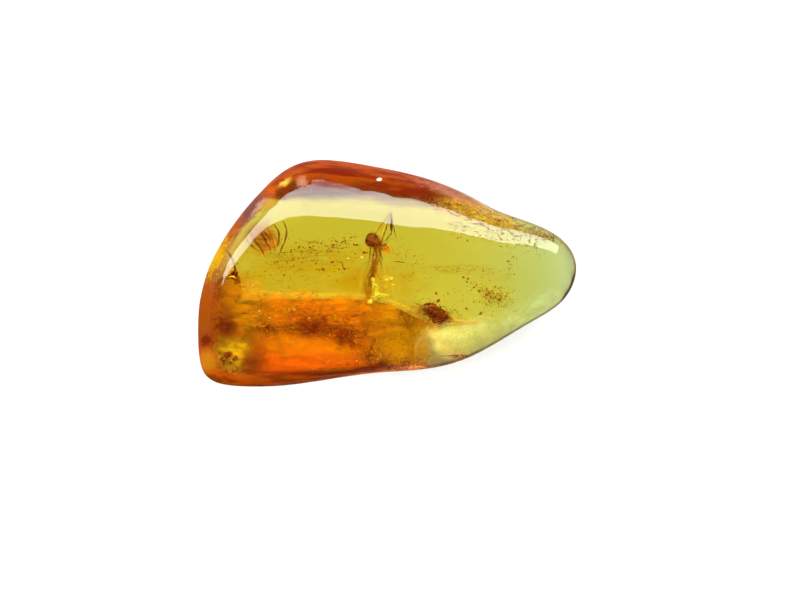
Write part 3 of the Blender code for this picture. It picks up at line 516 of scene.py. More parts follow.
class StageSettings(bpy.types.PropertyGroup):
    """The floor, the light and the camera."""

    floor_glow: number("Floor glow", "Brightness of the floor", 1.0, min=0.0)
    # The floor's lower glow under the stone is a painted shadow.
    shade_glow: number("Shaded glow", "Brightness of the floor under the stone", 0.71, min=0.0)
    sky_glow: number("Sky glow", "Brightness of the room", 0.12, min=0.0)
    zenith_share: number("Zenith share", "Brightness straight above, as a share", 0.4, min=0.0)
    box_radiance: number("Softbox radiance", "Brightness of the softbox", 13.5, min=0.0)
    box_elevation: angle("Softbox elevation", "Its height over the horizon", 38.5)
    box_distance: number("Softbox distance", "How far off it stands", 0.9, unit="LENGTH")
    box_width: number("Softbox width", "Its width", 3.6, unit="LENGTH")
    box_height: number("Softbox height", "Its height", 0.72, unit="LENGTH")
    box_roll: angle("Softbox roll", "How far it is turned about its middle", -5)
    box_shift: number("Softbox shift", "How far it stands to the tip's side", -0.1, unit="LENGTH")


SETTINGS = {
    "amber_nugget": NuggetSettings,
    "amber_gnat": GnatSettings,
    "amber_bark": BarkSettings,
    "amber_dust": DustSettings,
    "amber_stains": StainSettings,
    "amber_stage": StageSettings,
}


class Wire:
    """A node's output. Arithmetic on it adds Math nodes, so that a formula reads as one."""

    def __init__(self, finish, output):
        self.finish, self.output = finish, output

    def _math(self, operation, first, second):
        return self.finish.add("ShaderNodeMath", {"operation": operation}, {0: first, 1: second})

    def __add__(self, other):
        return self._math("ADD", self, other)

    def __radd__(self, other):
        return self._math("ADD", other, self)

    def __sub__(self, other):
        return self._math("SUBTRACT", self, other)

    def __rsub__(self, other):
        return self._math("SUBTRACT", other, self)

    def __mul__(self, other):
        return self._math("MULTIPLY", self, other)

    def __rmul__(self, other):
        return self._math("MULTIPLY", other, self)


class Finish:
    """A material in the making: a Principled shader and the nodes that feed it."""

    def __init__(self, name, uniform):
        self.material = bpy.data.materials.new(name)
        self.material.use_nodes = True
        self.tree = self.material.node_tree
        self.shader = self.tree.nodes["Principled BSDF"]
        for socket, value in uniform.items():
            self.shader.inputs[socket].default_value = value

    def add(self, kind, settings, sockets, out=0):
        """Adds a node: its settings first, then a value or a wire for each numbered or named socket."""
        node = self.tree.nodes.new(kind)
        for name, value in settings.items():
            if name == "stops":
                self.place_stops(node.color_ramp, value)
            else:
                setattr(node, name, value)
        for key, value in sockets.items():
            self.feed(node.inputs[key], value)
        return Wire(self, node.outputs[out])

    def feed(self, socket, value):
        if isinstance(value, Wire):
            self.tree.links.new(value.output, socket)
        else:
            socket.default_value = value

    @staticmethod
    def place_stops(ramp, stops):
        while len(ramp.elements) < len(stops):
            ramp.elements.new(0.5)
        for element, (place, shade) in zip(ramp.elements, stops):
            element.position = place
            element.color = (*shade, 1.0)

    def drive(self, socket, wire):
        self.feed(self.shader.inputs[socket], wire)

    def vector(self, operation, first, second=(0.0, 0.0, 0.0), out=0):
        """Vector maths on one or two vectors."""
        return self.add("ShaderNodeVectorMath", {"operation": operation}, {0: first, 1: second}, out)

    def place(self, scale=(1.0, 1.0, 1.0)):
        """Object coordinates in millimetres, stretched by a scale for each axis."""
        coordinates = self.add("ShaderNodeTexCoord", {}, {}, out="Object")
        return self.vector("MULTIPLY", coordinates, tuple(share / MM for share in scale))

    def axis(self, name):
        """One of the object coordinates, in millimetres."""
        return self.add("ShaderNodeSeparateXYZ", {}, {0: self.place()}, out=name)

    def attribute(self, name):
        return self.add("ShaderNodeAttribute", {"attribute_name": name}, {}, out="Fac")

    def clouds(self, place, size, detail=4.0, roughness=0.55, distortion=0.0):
        """Noise from 0 to 1 whose clouds are about that many millimetres across."""
        sockets = {"Vector": place, "Scale": 1 / size, "Detail": detail, "Roughness": roughness}
        return self.add("ShaderNodeTexNoise", {}, {**sockets, "Distortion": distortion})

    def cells(self, place, size):
        """The distance to the middle of the nearest cell, for cells about that many millimetres across."""
        return self.add("ShaderNodeTexVoronoi", {"feature": "F1"}, {"Vector": place, "Scale": 1 / size})

    def step(self, value, low, high):
        """0 below low, 1 above high and smooth between them."""
        settings = {"interpolation_type": "SMOOTHSTEP"}
        return self.add("ShaderNodeMapRange", settings, {"Value": value, "From Min": low, "From Max": high})

    def oval(self, centre, half_sizes, turn):
        """1 in the middle of an oval seen from above, in millimetres, falling to 0 at its rim."""
        place = self.vector("SUBTRACT", self.place(), (*centre, 0.0))
        about_z = {"rotation_type": "Z_AXIS"}
        place = self.add("ShaderNodeVectorRotate", about_z, {"Vector": place, "Angle": -turn})
        place = self.vector("MULTIPLY", place, (1 / half_sizes[0], 1 / half_sizes[1], 0.0))
        return 1 - self.vector("LENGTH", place, out="Value")

    def mix(self, first, second, share):
        """Two colours mixed: the second one where share is 1."""
        first, second = (c if isinstance(c, Wire) else (*c, 1.0) for c in (first, second))
        return self.add("ShaderNodeMix", {"data_type": "RGBA"}, {0: share, 6: first, 7: second}, out=2)

    def cover(self, sockets, share):
        """Mixes a second Principled shader over the first one."""
        second = self.add("ShaderNodeBsdfPrincipled", {}, sockets, out="BSDF")
        first = Wire(self, self.shader.outputs["BSDF"])
        both = self.add("ShaderNodeMixShader", {}, {0: share, 1: first, 2: second})
        self.tree.links.new(both.output, self.tree.nodes["Material Output"].inputs["Surface"])

    def bump(self, height, distance):
        """A relief of that many millimetres, fed to the shader's normal."""
        sockets = {"Height": height, "Distance": distance * MM, "Strength": 1.0}
        self.drive("Normal", self.add("ShaderNodeBump", {}, sockets))

    def absorb(self, per_metre):
        """Light lost on its way through, for each of red, green and blue."""
        density = 1.01 * max(per_metre)
        sockets = {"Density": density, "Color": (*(1 - share / density for share in per_metre), 1.0)}
        volume = self.add("ShaderNodeVolumeAbsorption", {}, sockets)
        self.tree.links.new(volume.output, self.tree.nodes["Material Output"].inputs["Volume"])


class Heap:
    """Points and faces gathered from many small shapes, to become one mesh."""

    def __init__(self):
        self.points, self.faces, self.count = [], [], 0

    def add(self, points, faces):
        points = np.asarray(points, float)
        self.points.append(points)
        self.faces.extend([tuple(i + self.count for i in face) for face in faces])
        self.count += len(points)

    def tube(self, line, radii, sides):
        """Adds a closed tube along a line."""
        self.add(*sweep(line, radii, sides))

    def mesh(self, name):
        mesh = bpy.data.meshes.new(name)
        mesh.from_pydata((np.concatenate(self.points) * MM).tolist(), [], self.faces)
        mesh.update()
        mesh.shade_smooth()
        return mesh


def in_scene(name, data):
    """A new object, linked to the scene."""
    thing = bpy.data.objects.new(name, data)
    bpy.context.scene.collection.objects.link(thing)
    return thing


def piece(name, shape, material, slot, replaces=()):
    """Makes a named piece of a heap or a mesh. It rides on the nugget's body."""
    mesh = shape.mesh(name) if isinstance(shape, Heap) else shape
    thing = in_scene(name, mesh)
    mesh.materials.clear()
    mesh.materials.append(material)
    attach(thing, BODY)
    for node in replaces:
        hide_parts(node)


def taken(work):
    """The points and faces of a bmesh, which is then freed."""
    points = np.array([vertex.co[:] for vertex in work.verts])
    faces = [[vertex.index for vertex in face.verts] for face in work.faces]
    work.free()
    return points, faces


@lru_cache
def unit_lump(subdivisions):
    """An icosphere of radius 1."""
    work = bmesh.new()
    bmesh.ops.create_icosphere(work, subdivisions=subdivisions, radius=1.0)
    return taken(work)


def from_lowest(face):
    """A face's points in their own order, from the lowest number on."""
    start = face.index(min(face))
    return face[start:] + face[:start]


@lru_cache
def unit_ball(columns, rows):
    """A sphere of radius 1 in rings. Its faces are sorted, because their order changes from run to run."""
    work = bmesh.new()
    bmesh.ops.create_uvsphere(work, u_segments=columns, v_segments=rows, radius=1.0)
    points, faces = taken(work)
    return points, sorted(from_lowest(face) for face in faces)


def turned(points, matrix):
    """Points moved by a 4 by 4 matrix."""
    grid = np.array(matrix)
    return np.asarray(points) @ grid[:3, :3].T + grid[:3, 3]


def laid(centre, turn, sizes):
    """The matrix that sizes a form, turns it about Z and moves it to its centre."""
    return Matrix.Translation(centre) @ Matrix.Rotation(turn, 4, "Z") @ Matrix.Diagonal((*sizes, 1.0))


def grid_faces(rows, columns, closed=False):
    """The faces between rows of points. In a closed grid each row is a ring."""
    width = columns if closed else columns + 1
    faces = []
    for a in range(0, rows * width, width):
        for i in range(columns):
            j = (i + 1) % width
            faces.append((a + i, a + j, a + width + j, a + width + i))
    return faces


def smooth_line(knots, steps):
    """Points on a Catmull-Rom curve through the knots, which may carry a radius as a fourth number."""
    knots = [np.array(knot, float) for knot in knots]
    ends = [2 * knots[0] - knots[1], *knots, 2 * knots[-1] - knots[-2]]
    line = []
    for a, b, c, d in zip(ends, ends[1:], ends[2:], ends[3:]):
        for share in np.arange(steps) / steps:
            bends = (2 * a - 5 * b + 4 * c - d) * share**2 + (3 * b - a - 3 * c + d) * share**3
            line.append(0.5 * (2 * b + (c - a) * share + bends))
    line.append(knots[-1])
    return np.array(line)


def sweep(line, radii, sides):
    """A round tube along a line, closed at both ends, whose radius changes from point to point."""
    line = np.asarray(line, float)
    along = np.gradient(line, axis=0)
    along /= np.linalg.norm(along, axis=1)[:, None]
    across = np.cross(along[0], (0.0, 0.0, 1.0) if abs(along[0][2]) < 0.9 else (1.0, 0.0, 0.0))
    turns = 2 * math.pi * np.arange(sides) / sides
    rings = []
    for centre, forward, radius in zip(line, along, radii):
        across = across - forward * across.dot(forward)
        across /= np.linalg.norm(across)
        upward = np.cross(forward, across)
        rings.append(centre + radius * (np.outer(np.cos(turns), across) + np.outer(np.sin(turns), upward)))
    faces = grid_faces(len(line) - 1, sides, closed=True)
    last = (len(line) - 1) * sides
    faces.append(tuple(reversed(range(sides))))
    faces.append(tuple(last + i for i in range(sides)))
    return np.concatenate(rings), faces


def cage_outline(outline):
    """Moves each point out by a sixth of its corner, so that the smoothed outline passes through it."""
    before, after = np.roll(outline, 1, axis=0), np.roll(outline, -1, axis=0)
    return outline + (2 * outline - before - after) / 6


def side_weights(outline):
    """For each point, how much it belongs to the far side, near side, left side and tip. They add up to 1."""
    along = np.roll(outline, -1, axis=0) - np.roll(outline, 1, axis=0)
    outward = np.stack([-along[:, 1], along[:, 0]], axis=1)
    outward /= np.linalg.norm(outward, axis=1)[:, None]
    across, lengthwise = outward[:, 1] ** 2, outward[:, 0] ** 2
    far = across * (outward[:, 1] > 0) * (1 - np.clip((outline[:, 0] - FAR_SIDE_ENDS) / FAR_BLEND, 0, 1))
    near = across * (outward[:, 1] <= 0) * (1 - np.clip((outline[:, 0] - NEAR_SIDE_ENDS) / NEAR_BLEND, 0, 1))
    left = lengthwise * (outward[:, 0] <= 0)
    return np.stack([far, near, left, 1 - far - near - left], axis=1)


def nugget_cage():
    """The cage, with the shares of rind, rough skin, crust, near side and broad end on its points."""
    outline = np.array([BROAD_END, *FAR_SIDE, TIP, *reversed(NEAR_SIDE)])
    weights = side_weights(outline)
    cage = cage_outline(outline)
    spine_x = np.clip(cage[:, 0], *SPINE_X)
    spine = np.stack([spine_x, np.interp(spine_x, SPINE_X, SPINE_Y)], axis=1)
    work = bmesh.new()
    names = ("rind", "rough", "crust", "near", "broad", "rim")
    shares = {name: work.verts.layers.float.new(name) for name in names}
    loops, edges = [], []
    for ring, (inwards, heights, sharpness, rind, rough) in enumerate(RINGS):
        plan = cage + (weights @ np.array(inwards))[:, None] * (spine - cage)
        thickness = np.interp(plan[:, 0], *zip(*THICKNESS))
        rise = np.interp(plan[:, 0], *zip(*UNDERSIDE_RISE))
        points = np.column_stack([plan, rise + (weights @ np.array(heights)) * thickness]) * MM
        loop = [work.verts.new(point) for point in points]
        rims = (weights[:, 1] + weights[:, 3]) * (ring == WIDEST_RING)
        skins = [weights @ np.array(share) for share in (rind, rough, CRUSTED)]
        for i, vertex in enumerate(loop):
            for name, values in zip(names, (*skins, weights[:, 1], weights[:, 2], rims)):
                vertex[shares[name]] = values[i]
        loops.append(loop)
        edges.append(weights @ np.array(sharpness))
    count = len(outline)
    for lower, upper in zip(loops, loops[1:]):
        for i in range(count):
            j = (i + 1) % count
            work.faces.new((lower[i], lower[j], upper[j], upper[i]))
    for loop in (loops[0], loops[-1]):
        for i in range(count // 2):
            across = (loop[i], loop[i + 1], loop[-i - 1], loop[-i])
            work.faces.new(tuple(dict.fromkeys(across)))
    crease = work.edges.layers.float.new("crease_edge")
    for loop, sharpness in zip(loops, edges):
        for i in range(count):
            j = (i + 1) % count
            work.edges.get((loop[i], loop[j]))[crease] = min(sharpness[i], sharpness[j])
    bmesh.ops.recalc_face_normals(work, faces=work.faces)
    mesh = bpy.data.meshes.new("nugget_cage")
    work.to_mesh(mesh)
    work.free()
    return mesh


def smooth_nugget(levels):
    """The cage, smoothed that many times."""
    guide = in_scene("nugget_guide", nugget_cage())
    guide.modifiers.new("Smooth body", "SUBSURF").levels = levels
    graph = bpy.context.evaluated_depsgraph_get()
    mesh = bpy.data.meshes.new_from_object(guide.evaluated_get(graph))
    bpy.data.objects.remove(guide)
    return mesh


@lru_cache
def skin():
    """The nugget's surface, to search, in millimetres."""
    mesh = smooth_nugget(SEARCH_LEVELS)
    points = [vertex.co / MM for vertex in mesh.vertices]
    return BVHTree.FromPolygons(points, [tuple(face.vertices) for face in mesh.polygons])


def under_top(x, y, depth, clearance=0.0):
    """The point that deep under the top face, or None if it isn't well inside the amber."""
    top = skin().ray_cast(Vector((x, y, ABOVE)), Vector((0, 0, -1)))[0]
    floor = skin().ray_cast(Vector((x, y, BELOW)), Vector((0, 0, 1)))[0]
    if top is None or floor is None:
        return None
    point = Vector((x, y, top.z - depth))
    if point.z < floor.z or skin().find_nearest(point)[3] < SKIN_MARGIN + clearance:
        return None
    return point


def inside(what, spot, depth, clearance=0.0):
    """The point that deep under the top face, which has to be well inside the amber."""
    place = under_top(*spot, depth, clearance)
    if place is None:
        raise RuntimeError(f"{what} at {tuple(spot)} isn't inside the amber")
    return place


def scattered(random, rarity, start, end, spread, count, smallest, largest, high, low):
    """Sizes and places along a trail: even along it, and thinning out to its sides."""
    share = random.random(count)[:, None]
    spots = np.array(start) + share * (np.array(end) - np.array(start)) + random.normal(0, spread, (count, 2))
    for x, y in spots:
        size = smallest + (largest - smallest) * random.random() ** rarity
        place = under_top(x, y, random.uniform(high, low), size)
        if place is not None:
            yield size, place


def amber_finish(settings):
    """Clear amber: polished, with a red-brown rind round the sides and a rough, unpolished underside."""
    made = Finish("amber_clear", {
        "Transmission Weight": 1.0, "IOR": AMBER_IOR, "Specular Tint": (0.5, 0.5, 0.5, 1.0),
    })
    streaks = made.clouds(made.place((0.16, 1.0, 1.4)), STREAK_SIZE, detail=6.0, roughness=0.6)
    blots = made.clouds(made.place((0.5, 1.0, 1.0)), BLOT_SIZE, detail=3.0)
    rind = made.attribute("rind") * (1 + (streaks - 0.5) * 0.9 + (blots - 0.5) * 0.6)
    weathered = made.step(rind, *WEATHERED)
    clear = made.mix(settings.clear_tint, settings.tip_tint, made.step(made.axis("X"), *TIP_TINTED))
    stained = made.mix(settings.rind_tint, settings.rind_streaks, made.step(streaks, 0.42, 0.62))
    tinted = made.mix(clear, stained, weathered)
    rim = made.step(made.attribute("rim"), *RIM_REACH)
    made.drive("Base Color", made.mix(tinted, settings.rim_tint, rim))
    specks = made.clouds(made.place((0.5, 1.0, 1.0)), SPECK_SIZE, detail=2.0)
    speckled = made.step(specks, *SPECK_LEVELS) * made.attribute("specked")
    made.drive("Roughness", made.attribute("rough") * settings.rind_roughness + speckled * SPECK_ROUGHNESS)
    made.absorb((settings.red_absorbed, settings.green_absorbed, settings.blue_absorbed))
    broad, near = made.attribute("broad"), made.attribute("near")
    # The crust's colour by side: the near side's paler colour is painted light, making up for the weaker
    # light there.
    crust = made.mix(made.mix(settings.crust, settings.broad_crust, broad), settings.near_crust_painted_light, near)
    dark_crust = made.mix(settings.crust_streaks, crust, broad + near * 0.25)
    dull = made.mix(crust, dark_crust, made.step(streaks, 0.40, 0.60))
    shares = weathered * made.attribute("crust") * settings.crust_share + speckled * SPECK_COVER
    dull = made.mix(dull, settings.speck, speckled)
    tip_rim = rim * (1 - near)
    dull = made.mix(dull, settings.rim_line, tip_rim)
    shares = shares * (1 - tip_rim) + tip_rim * RIM_COVER
    ragged = (made.clouds(made.place((0.6, 1.0, 1.0)), 0.4, detail=6.0, roughness=0.7) - 0.5) * PATCH_RAGGED
    upper = made.step(made.axis("Z"), *PATCH_LEVEL)
    for centre, half_sizes, turn, shade, share in PATCHES.values():
        covered = made.step(made.oval(centre, half_sizes, turn) + ragged, *PATCH_FADE) * upper * share
        dull = made.mix(dull, shade, covered)
        shares = shares * (1 - covered) + covered
    made.cover({"Base Color": dull, "Roughness": 0.6, "Specular IOR Level": 0.0}, shares)
    return made.material


def mark_specks(mesh):
    """Marks how speckled the skin is, as an attribute of its points."""
    marks = mesh.attributes.new("specked", "FLOAT", "POINT")
    xs, ys = zip(*SPECKED_LINE)
    shares = []
    for vertex in mesh.vertices:
        x, y, z = vertex.co / MM
        off = abs(y - np.interp(x, xs, ys)) / SPECKED_SPREAD
        end = min(x - xs[0], xs[-1] - x)
        shares.append(max(0.0, 1 - off) * min(max(end, 0.0), 1.0) * (vertex.normal.z > 0.2))
    marks.data.foreach_set("value", shares)


def polish_waves(mesh, height):
    """The slow waves that polishing by hand leaves."""
    places, normals = (np.empty(len(mesh.vertices) * 3) for _ in range(2))
    mesh.vertices.foreach_get("co", places)
    mesh.vertex_normals.foreach_get("vector", normals)
    for i in range(0, len(places), 3):
        place = Vector(places[i:i + 3]) / MM
        wave = noise.noise(place * 0.35) + 0.4 * noise.noise(place * 0.9)
        places[i:i + 3] += normals[i:i + 3] * wave * height * MM
    mesh.vertices.foreach_set("co", places)
    mesh.update()


def crack_surface(half_sizes, ribs, rib_height, side):
    """One face of a thin crack: a ribbed dish that meets the other face round its rim."""
    columns = CRACK_COLUMNS
    points = [(0.0, 0.0, side * CRACK_GAP / 2)]
    for share in np.arange(1, CRACK_ROWS + 1) / CRACK_ROWS:
        for turn in 2 * math.pi * np.arange(columns) / columns:
            ragged = 1 + 0.10 * noise.noise(Vector((math.cos(turn) * 2, math.sin(turn) * 2, ribs)))
            x = math.cos(turn) * share * ragged * half_sizes[0]
            y = math.sin(turn) * share * ragged * half_sizes[1]
            wave = math.sin(ribs * (x / half_sizes[0] + 0.25 * share**2) * math.pi / 2)
            points.append((x, y, rib_height * wave * (1 - share**4) + side * CRACK_GAP / 2 * (1 - share**2)))
    faces = [(0, 1 + i, 1 + (i + 1) % columns) for i in range(columns)]
    for a, b, c, d in grid_faces(CRACK_ROWS - 1, columns, closed=True):
        faces.append((a + 1, d + 1, c + 1, b + 1))
    return points, faces


def add_crack(heap, centre, half_sizes, turn, tilt, tilt_turn, depth, ribs, rib_height):
    """A thin, ribbed hollow. Its faces look inwards, as a hollow's do."""
    axis = Vector((math.cos(tilt_turn), math.sin(tilt_turn), 0.0))
    place = Matrix.Translation(inside("the crack", centre, depth))
    matrix = place @ Matrix.Rotation(tilt, 4, axis) @ Matrix.Rotation(turn, 4, "Z")
    for side in (1, -1):
        points, faces = crack_surface(half_sizes, ribs, rib_height, side)
        heap.add(turned(points, matrix), [face[::-side] for face in faces])


def hollows(settings):
    """Bubbles and cracks, as one mesh whose faces look inwards."""
    random = np.random.default_rng(settings.seed)
    heap = Heap()
    bubbles = [found for trail in BUBBLE_TRAILS for found in scattered(random, BUBBLE_RARITY, *trail)]
    for spot, radius, depth in BUBBLES:
        bubbles.append((radius, inside("the bubble", spot, depth, radius)))
    for radius, place in bubbles:
        points, faces = unit_lump(2 + sum(radius > limit for limit in FINE_BUBBLES))
        heap.add(points * radius + np.array(place), [face[::-1] for face in faces])
    for crack in CRACKS:
        add_crack(heap, *crack)
    return heap.mesh("hollows")


class AMBER_OT_nugget(bpy.types.Operator):
    """Makes the clear nugget, with its bubbles and cracks, in place of the two halves"""

    bl_idname = "amber.nugget"
    bl_label = "Clear nugget"

    def execute(self, context):
        settings = context.scene.amber_nugget
        outside = smooth_nugget(SKIN_LEVELS)
        polish_waves(outside, settings.waviness)
        mark_specks(outside)
        work = bmesh.new()
        work.from_mesh(outside)
        work.from_mesh(hollows(settings))
        mesh = bpy.data.meshes.new("amber_nugget")
        work.to_mesh(mesh)
        work.free()
        mesh.shade_smooth()
        halves = ("amber_upper_half", "amber_lower_half")
        piece("amber_nugget", mesh, amber_finish(settings), "amber", halves)
        return {"FINISHED"}


def chitin_finish(name, dark, pale, roughness=0.45, reach=(0.42, 0.72)):
    """Dark, satin chitin, paler where it is thin, with a fine leathery grain."""
    made = Finish(name, {"Specular IOR Level": 0.5})
    place = made.place()
    blotches = made.clouds(place, 0.5, detail=5.0)
    grain = made.clouds(place, 0.05, detail=2.0)
    made.drive("Base Color", made.mix(dark, pale, made.step(blotches + (grain - 0.5) * 0.3, *reach)))
    made.drive("Roughness", roughness + (grain - 0.5) * 0.25)
    made.bump(grain, 0.01)
    return made.material


def membrane_finish(settings):
    """A wing's thin skin: clear and faintly smoky."""
    made = Finish("wing_membrane", {"Roughness": 0.2})
    clouds = made.clouds(made.place((1.0, 0.4, 1.0)), 0.4)
    made.drive("Base Color", made.mix(settings.membrane, settings.cleared, made.step(clouds, 0.35, 0.8)))
    made.drive("Alpha", 0.06 + made.step(clouds, 0.35, 0.85) * 0.14)
    return made.material


def abdomen_finish():
    """The abdomen's thin, see-through wall, which looks dark where it is seen edge on."""
    made = Finish("abdomen_wall", {"Transmission Weight": 1.0, "IOR": 1.62, "Roughness": 0.12})
    bands = made.clouds(made.place(), 0.35, detail=4.0)
    made.drive("Base Color", made.mix((0.97, 0.80, 0.40), (0.52, 0.22, 0.05), made.step(bands, 0.44, 0.70)))
    made.absorb((500.0, 1500.0, 6000.0))
    return made.material


def thorax_points():
    """The humped thorax: a ball with a saddle over its back and grooves between its plates."""
    points, faces = unit_ball(56, 40)
    shaped = []
    for x, y, z in points:
        hump = 1 + 0.14 * max(z, 0) ** 2 - 0.16 * math.exp(-((x - 0.55) / 0.16) ** 2) * max(z, 0)
        across, lengthwise = math.exp(-((x + 0.25) / 0.05) ** 2), math.exp(-(y / 0.05) ** 2)
        groove = 1 - 0.05 * across - 0.04 * lengthwise * max(z, 0)
        uneven = 1 + 0.16 * noise.noise(Vector((x, y, z)) * 1.9) + 0.06 * noise.noise(Vector((x, y, z)) * 5.0)
        shaped.append(np.array((x, y * (0.95 - 0.32 * x), z)) * hump * groove * uneven)
    return turned(shaped, laid(THORAX_CENTRE, THORAX_TURN, THORAX_HALF_SIZES)), faces


def gnat_body(settings):
    """The thorax and neck."""
    heap = Heap()
    heap.add(*thorax_points())
    neck = smooth_line((THORAX_CENTRE, HEAD_CENTRE), 6)
    heap.tube(neck, np.full(len(neck), 0.15), 14)
    finish = chitin_finish("chitin_dark", settings.chitin, settings.pale_chitin)
    piece("gnat_body", heap, finish, "gnat", ("gnat",))


def gnat_head(settings):
    """The pale, downy head, with its mouthparts."""
    heap = Heap()
    points, faces = unit_ball(36, 26)
    heap.add(points * HEAD_RADIUS * np.array((1.0, 0.92, 0.95)) + np.array(HEAD_CENTRE), faces)
    mouth = np.array(HEAD_CENTRE) + np.array((0.22, -0.18, -0.12))
    for spread in (-0.08, 0.08):
        bend, end = (0.16, -0.14 + spread, -0.10), (0.20, -0.34 + spread, -0.12)
        palp = smooth_line((mouth, mouth + bend, mouth + end), 5)
        heap.tube(palp, np.linspace(0.045, 0.02, len(palp)), 8)
    finish = chitin_finish("chitin_pale", settings.pale_chitin, settings.head, 0.5)
    piece("gnat_head", heap, finish, "gnat")


def gnat_eyes(settings):
    """Two compound eyes, with the small facets that make them up."""
    heap = Heap()
    points, faces = unit_lump(4)
    for side in (-1, 1):
        centre = np.array(HEAD_CENTRE) + np.array((0.05, side * 0.17, 0.10))
        heap.add(points * np.array((0.22, 0.19, 0.24)) + centre, faces)
    made = Finish("eye_facets", {"Roughness": 0.2})
    facets = made.cells(made.place(), 0.035)
    made.drive("Base Color", made.mix(settings.eye, settings.chitin, made.step(facets, 0.2, 0.7)))
    made.bump(1 - facets, 0.008)
    piece("gnat_eyes", heap, made.material, "gnat")


def abdomen_line(steps):
    """The abdomen's middle line and radius, with the waists between its segments."""
    line = smooth_line(ABDOMEN, steps)
    share = np.linspace(0, 1, len(line))
    waist = 1 - 0.13 * np.abs(np.sin(share * 8 * math.pi)) ** 8 * (share > 0.12)
    return line[:, :3], line[:, 3] * (1.04 - 0.13 + 0.13 * waist / waist.max()) * waist


def gnat_abdomen():
    """The see-through abdomen, with a thin wall and a dark thread of gut."""
    line, radii = abdomen_line(ABDOMEN_STEPS)
    wall, gut = Heap(), Heap()
    wall.tube(line, radii, ABDOMEN_SIDES)
    inner, inner_faces = sweep(line[3:-3], radii[3:-3] * WALL_INSIDE, ABDOMEN_SIDES)
    wall.add(inner, [face[::-1] for face in inner_faces])
    piece("gnat_abdomen", wall, abdomen_finish(), "gnat")
    thread = line[4:-6] + np.array([
        (0.04 * math.sin(i * 0.5), 0.0, 0.03 * math.cos(i * 0.4)) for i in range(len(line) - 10)
    ])
    front = 1 / (1 + np.exp((np.linspace(0, 1, len(thread)) - GUT_THINS) * 14))
    thickness = radii[4:-6] * (0.07 + 0.04 * np.sin(np.arange(len(thread)) * 0.8) + 0.80 * front)
    gut.tube(thread, thickness, 10)
    piece("gnat_gut", gut, chitin_finish("gut", (0.20, 0.035, 0.002), (0.50, 0.16, 0.01), 0.6), "gnat")


def leg_line(joints, stout):
    """A leg's middle line and radii: thigh, shin, which may be stout like a spindle, and a beaded foot."""
    hip, knee, ankle, foot = (np.array(joint, float) for joint in joints)

    def thigh(share):
        return THIGH_RADIUS * (0.7 + 0.7 * math.sin(math.pi * share) ** 0.8 * (1 - 0.45 * share))

    def shin(share):
        spindle = STOUT_SHIN_RADIUS * math.sin(math.pi * share**1.6) if stout else 0.0
        return max(SHIN_RADIUS * (0.9 + 0.3 * share), spindle)

    def beads(share):
        return FOOT_RADIUS * (1.0 - 0.4 * share) * (0.72 + 0.28 * abs(math.sin(5 * math.pi * share)) ** 0.5)

    line, radii = [], []
    limbs = (
        (hip, knee, THIGH_STEPS, thigh), (knee, ankle, SHIN_STEPS, shin), (ankle, foot, FOOT_STEPS, beads),
    )
    for start, end, steps, radius in limbs:
        for share in np.arange(steps) / steps:
            line.append(start + (end - start) * share)
            radii.append(radius(share))
    line.append(foot)
    radii.append(FOOT_RADIUS * 0.4)
    return np.array(line), np.array(radii)


def spurs(joints):
    """The two spurs at a shin's end, as lines."""
    ankle = np.array(joints[2])
    shin = ankle - np.array(joints[1])
    shin /= np.linalg.norm(shin)
    across = np.cross(shin, (0, 0, 1))
    return [smooth_line((ankle, ankle + 0.20 * shin + side * 0.06 * across), 4) for side in (-1, 1)]


def gnat_legs(settings):
    """Six jointed legs with the shins' spurs, and two beaded antennae."""
    fore, cleared = Heap(), Heap()
    # The bends start from the seed. Without one they would start from the clock.
    noise.seed_set(settings.seed)
    for name, joints in LEGS.items():
        heap = fore if name in DARK_LEGS else cleared
        line, radii = leg_line(joints, name in STOUT_LEGS)
        line += np.array([noise.noise_vector(Vector(point) * 0.8)[:] for point in line]) * LEG_BEND
        cleared.tube(line[:THIGH_STEPS + 1], radii[:THIGH_STEPS + 1], LEG_SIDES)
        heap.tube(line[THIGH_STEPS:], radii[THIGH_STEPS:], LEG_SIDES)
        for spur in spurs(joints):
            heap.tube(spur, np.linspace(0.018, 0.003, len(spur)), 6)
    for joints in ANTENNAE.values():
        line = smooth_line(joints, 28)
        share = np.linspace(0, 1, len(line))
        segments = 0.62 + 0.38 * np.abs(np.sin(14 * math.pi * share)) ** 0.6
        cleared.tube(line, ANTENNA_RADIUS * (1.15 - 0.5 * share) * segments, 10)
    dark = chitin_finish("chitin_fore_legs", settings.shin, settings.pale_chitin, 0.4)
    pale = chitin_finish("chitin_cleared", settings.pale_chitin, settings.cleared, 0.4, (0.30, 0.48))
    piece("gnat_fore_legs", fore, dark, "gnat")
    piece("gnat_legs", cleared, pale, "gnat")


def wing_place(root, tip, tilt):
    """The wing's matrix and length."""
    span = Vector(tip) - Vector(root)
    turn = span.to_track_quat("X", "Z").to_matrix().to_4x4()
    return Matrix.Translation(root) @ turn @ Matrix.Rotation(tilt, 4, "X"), span.length


def half_chord(share, ahead):
    """How wide the wing is there, ahead of its middle line or behind it."""
    return np.interp(share, *zip(*WING_OUTLINE)) * (0.8 if ahead else 1.0)


def wing_fold(along, across):
    """The wing's gentle pleats."""
    return 0.035 * math.sin(9 * across) + 0.05 * math.sin(2.4 * along) * across


def wing_point(length, chord, share, across, raised=0.0):
    """A point of the wing's skin, before the wing is turned into its place."""
    y = half_chord(share, across > 0) * across
    return share * length, y * chord, wing_fold(share, y) + raised


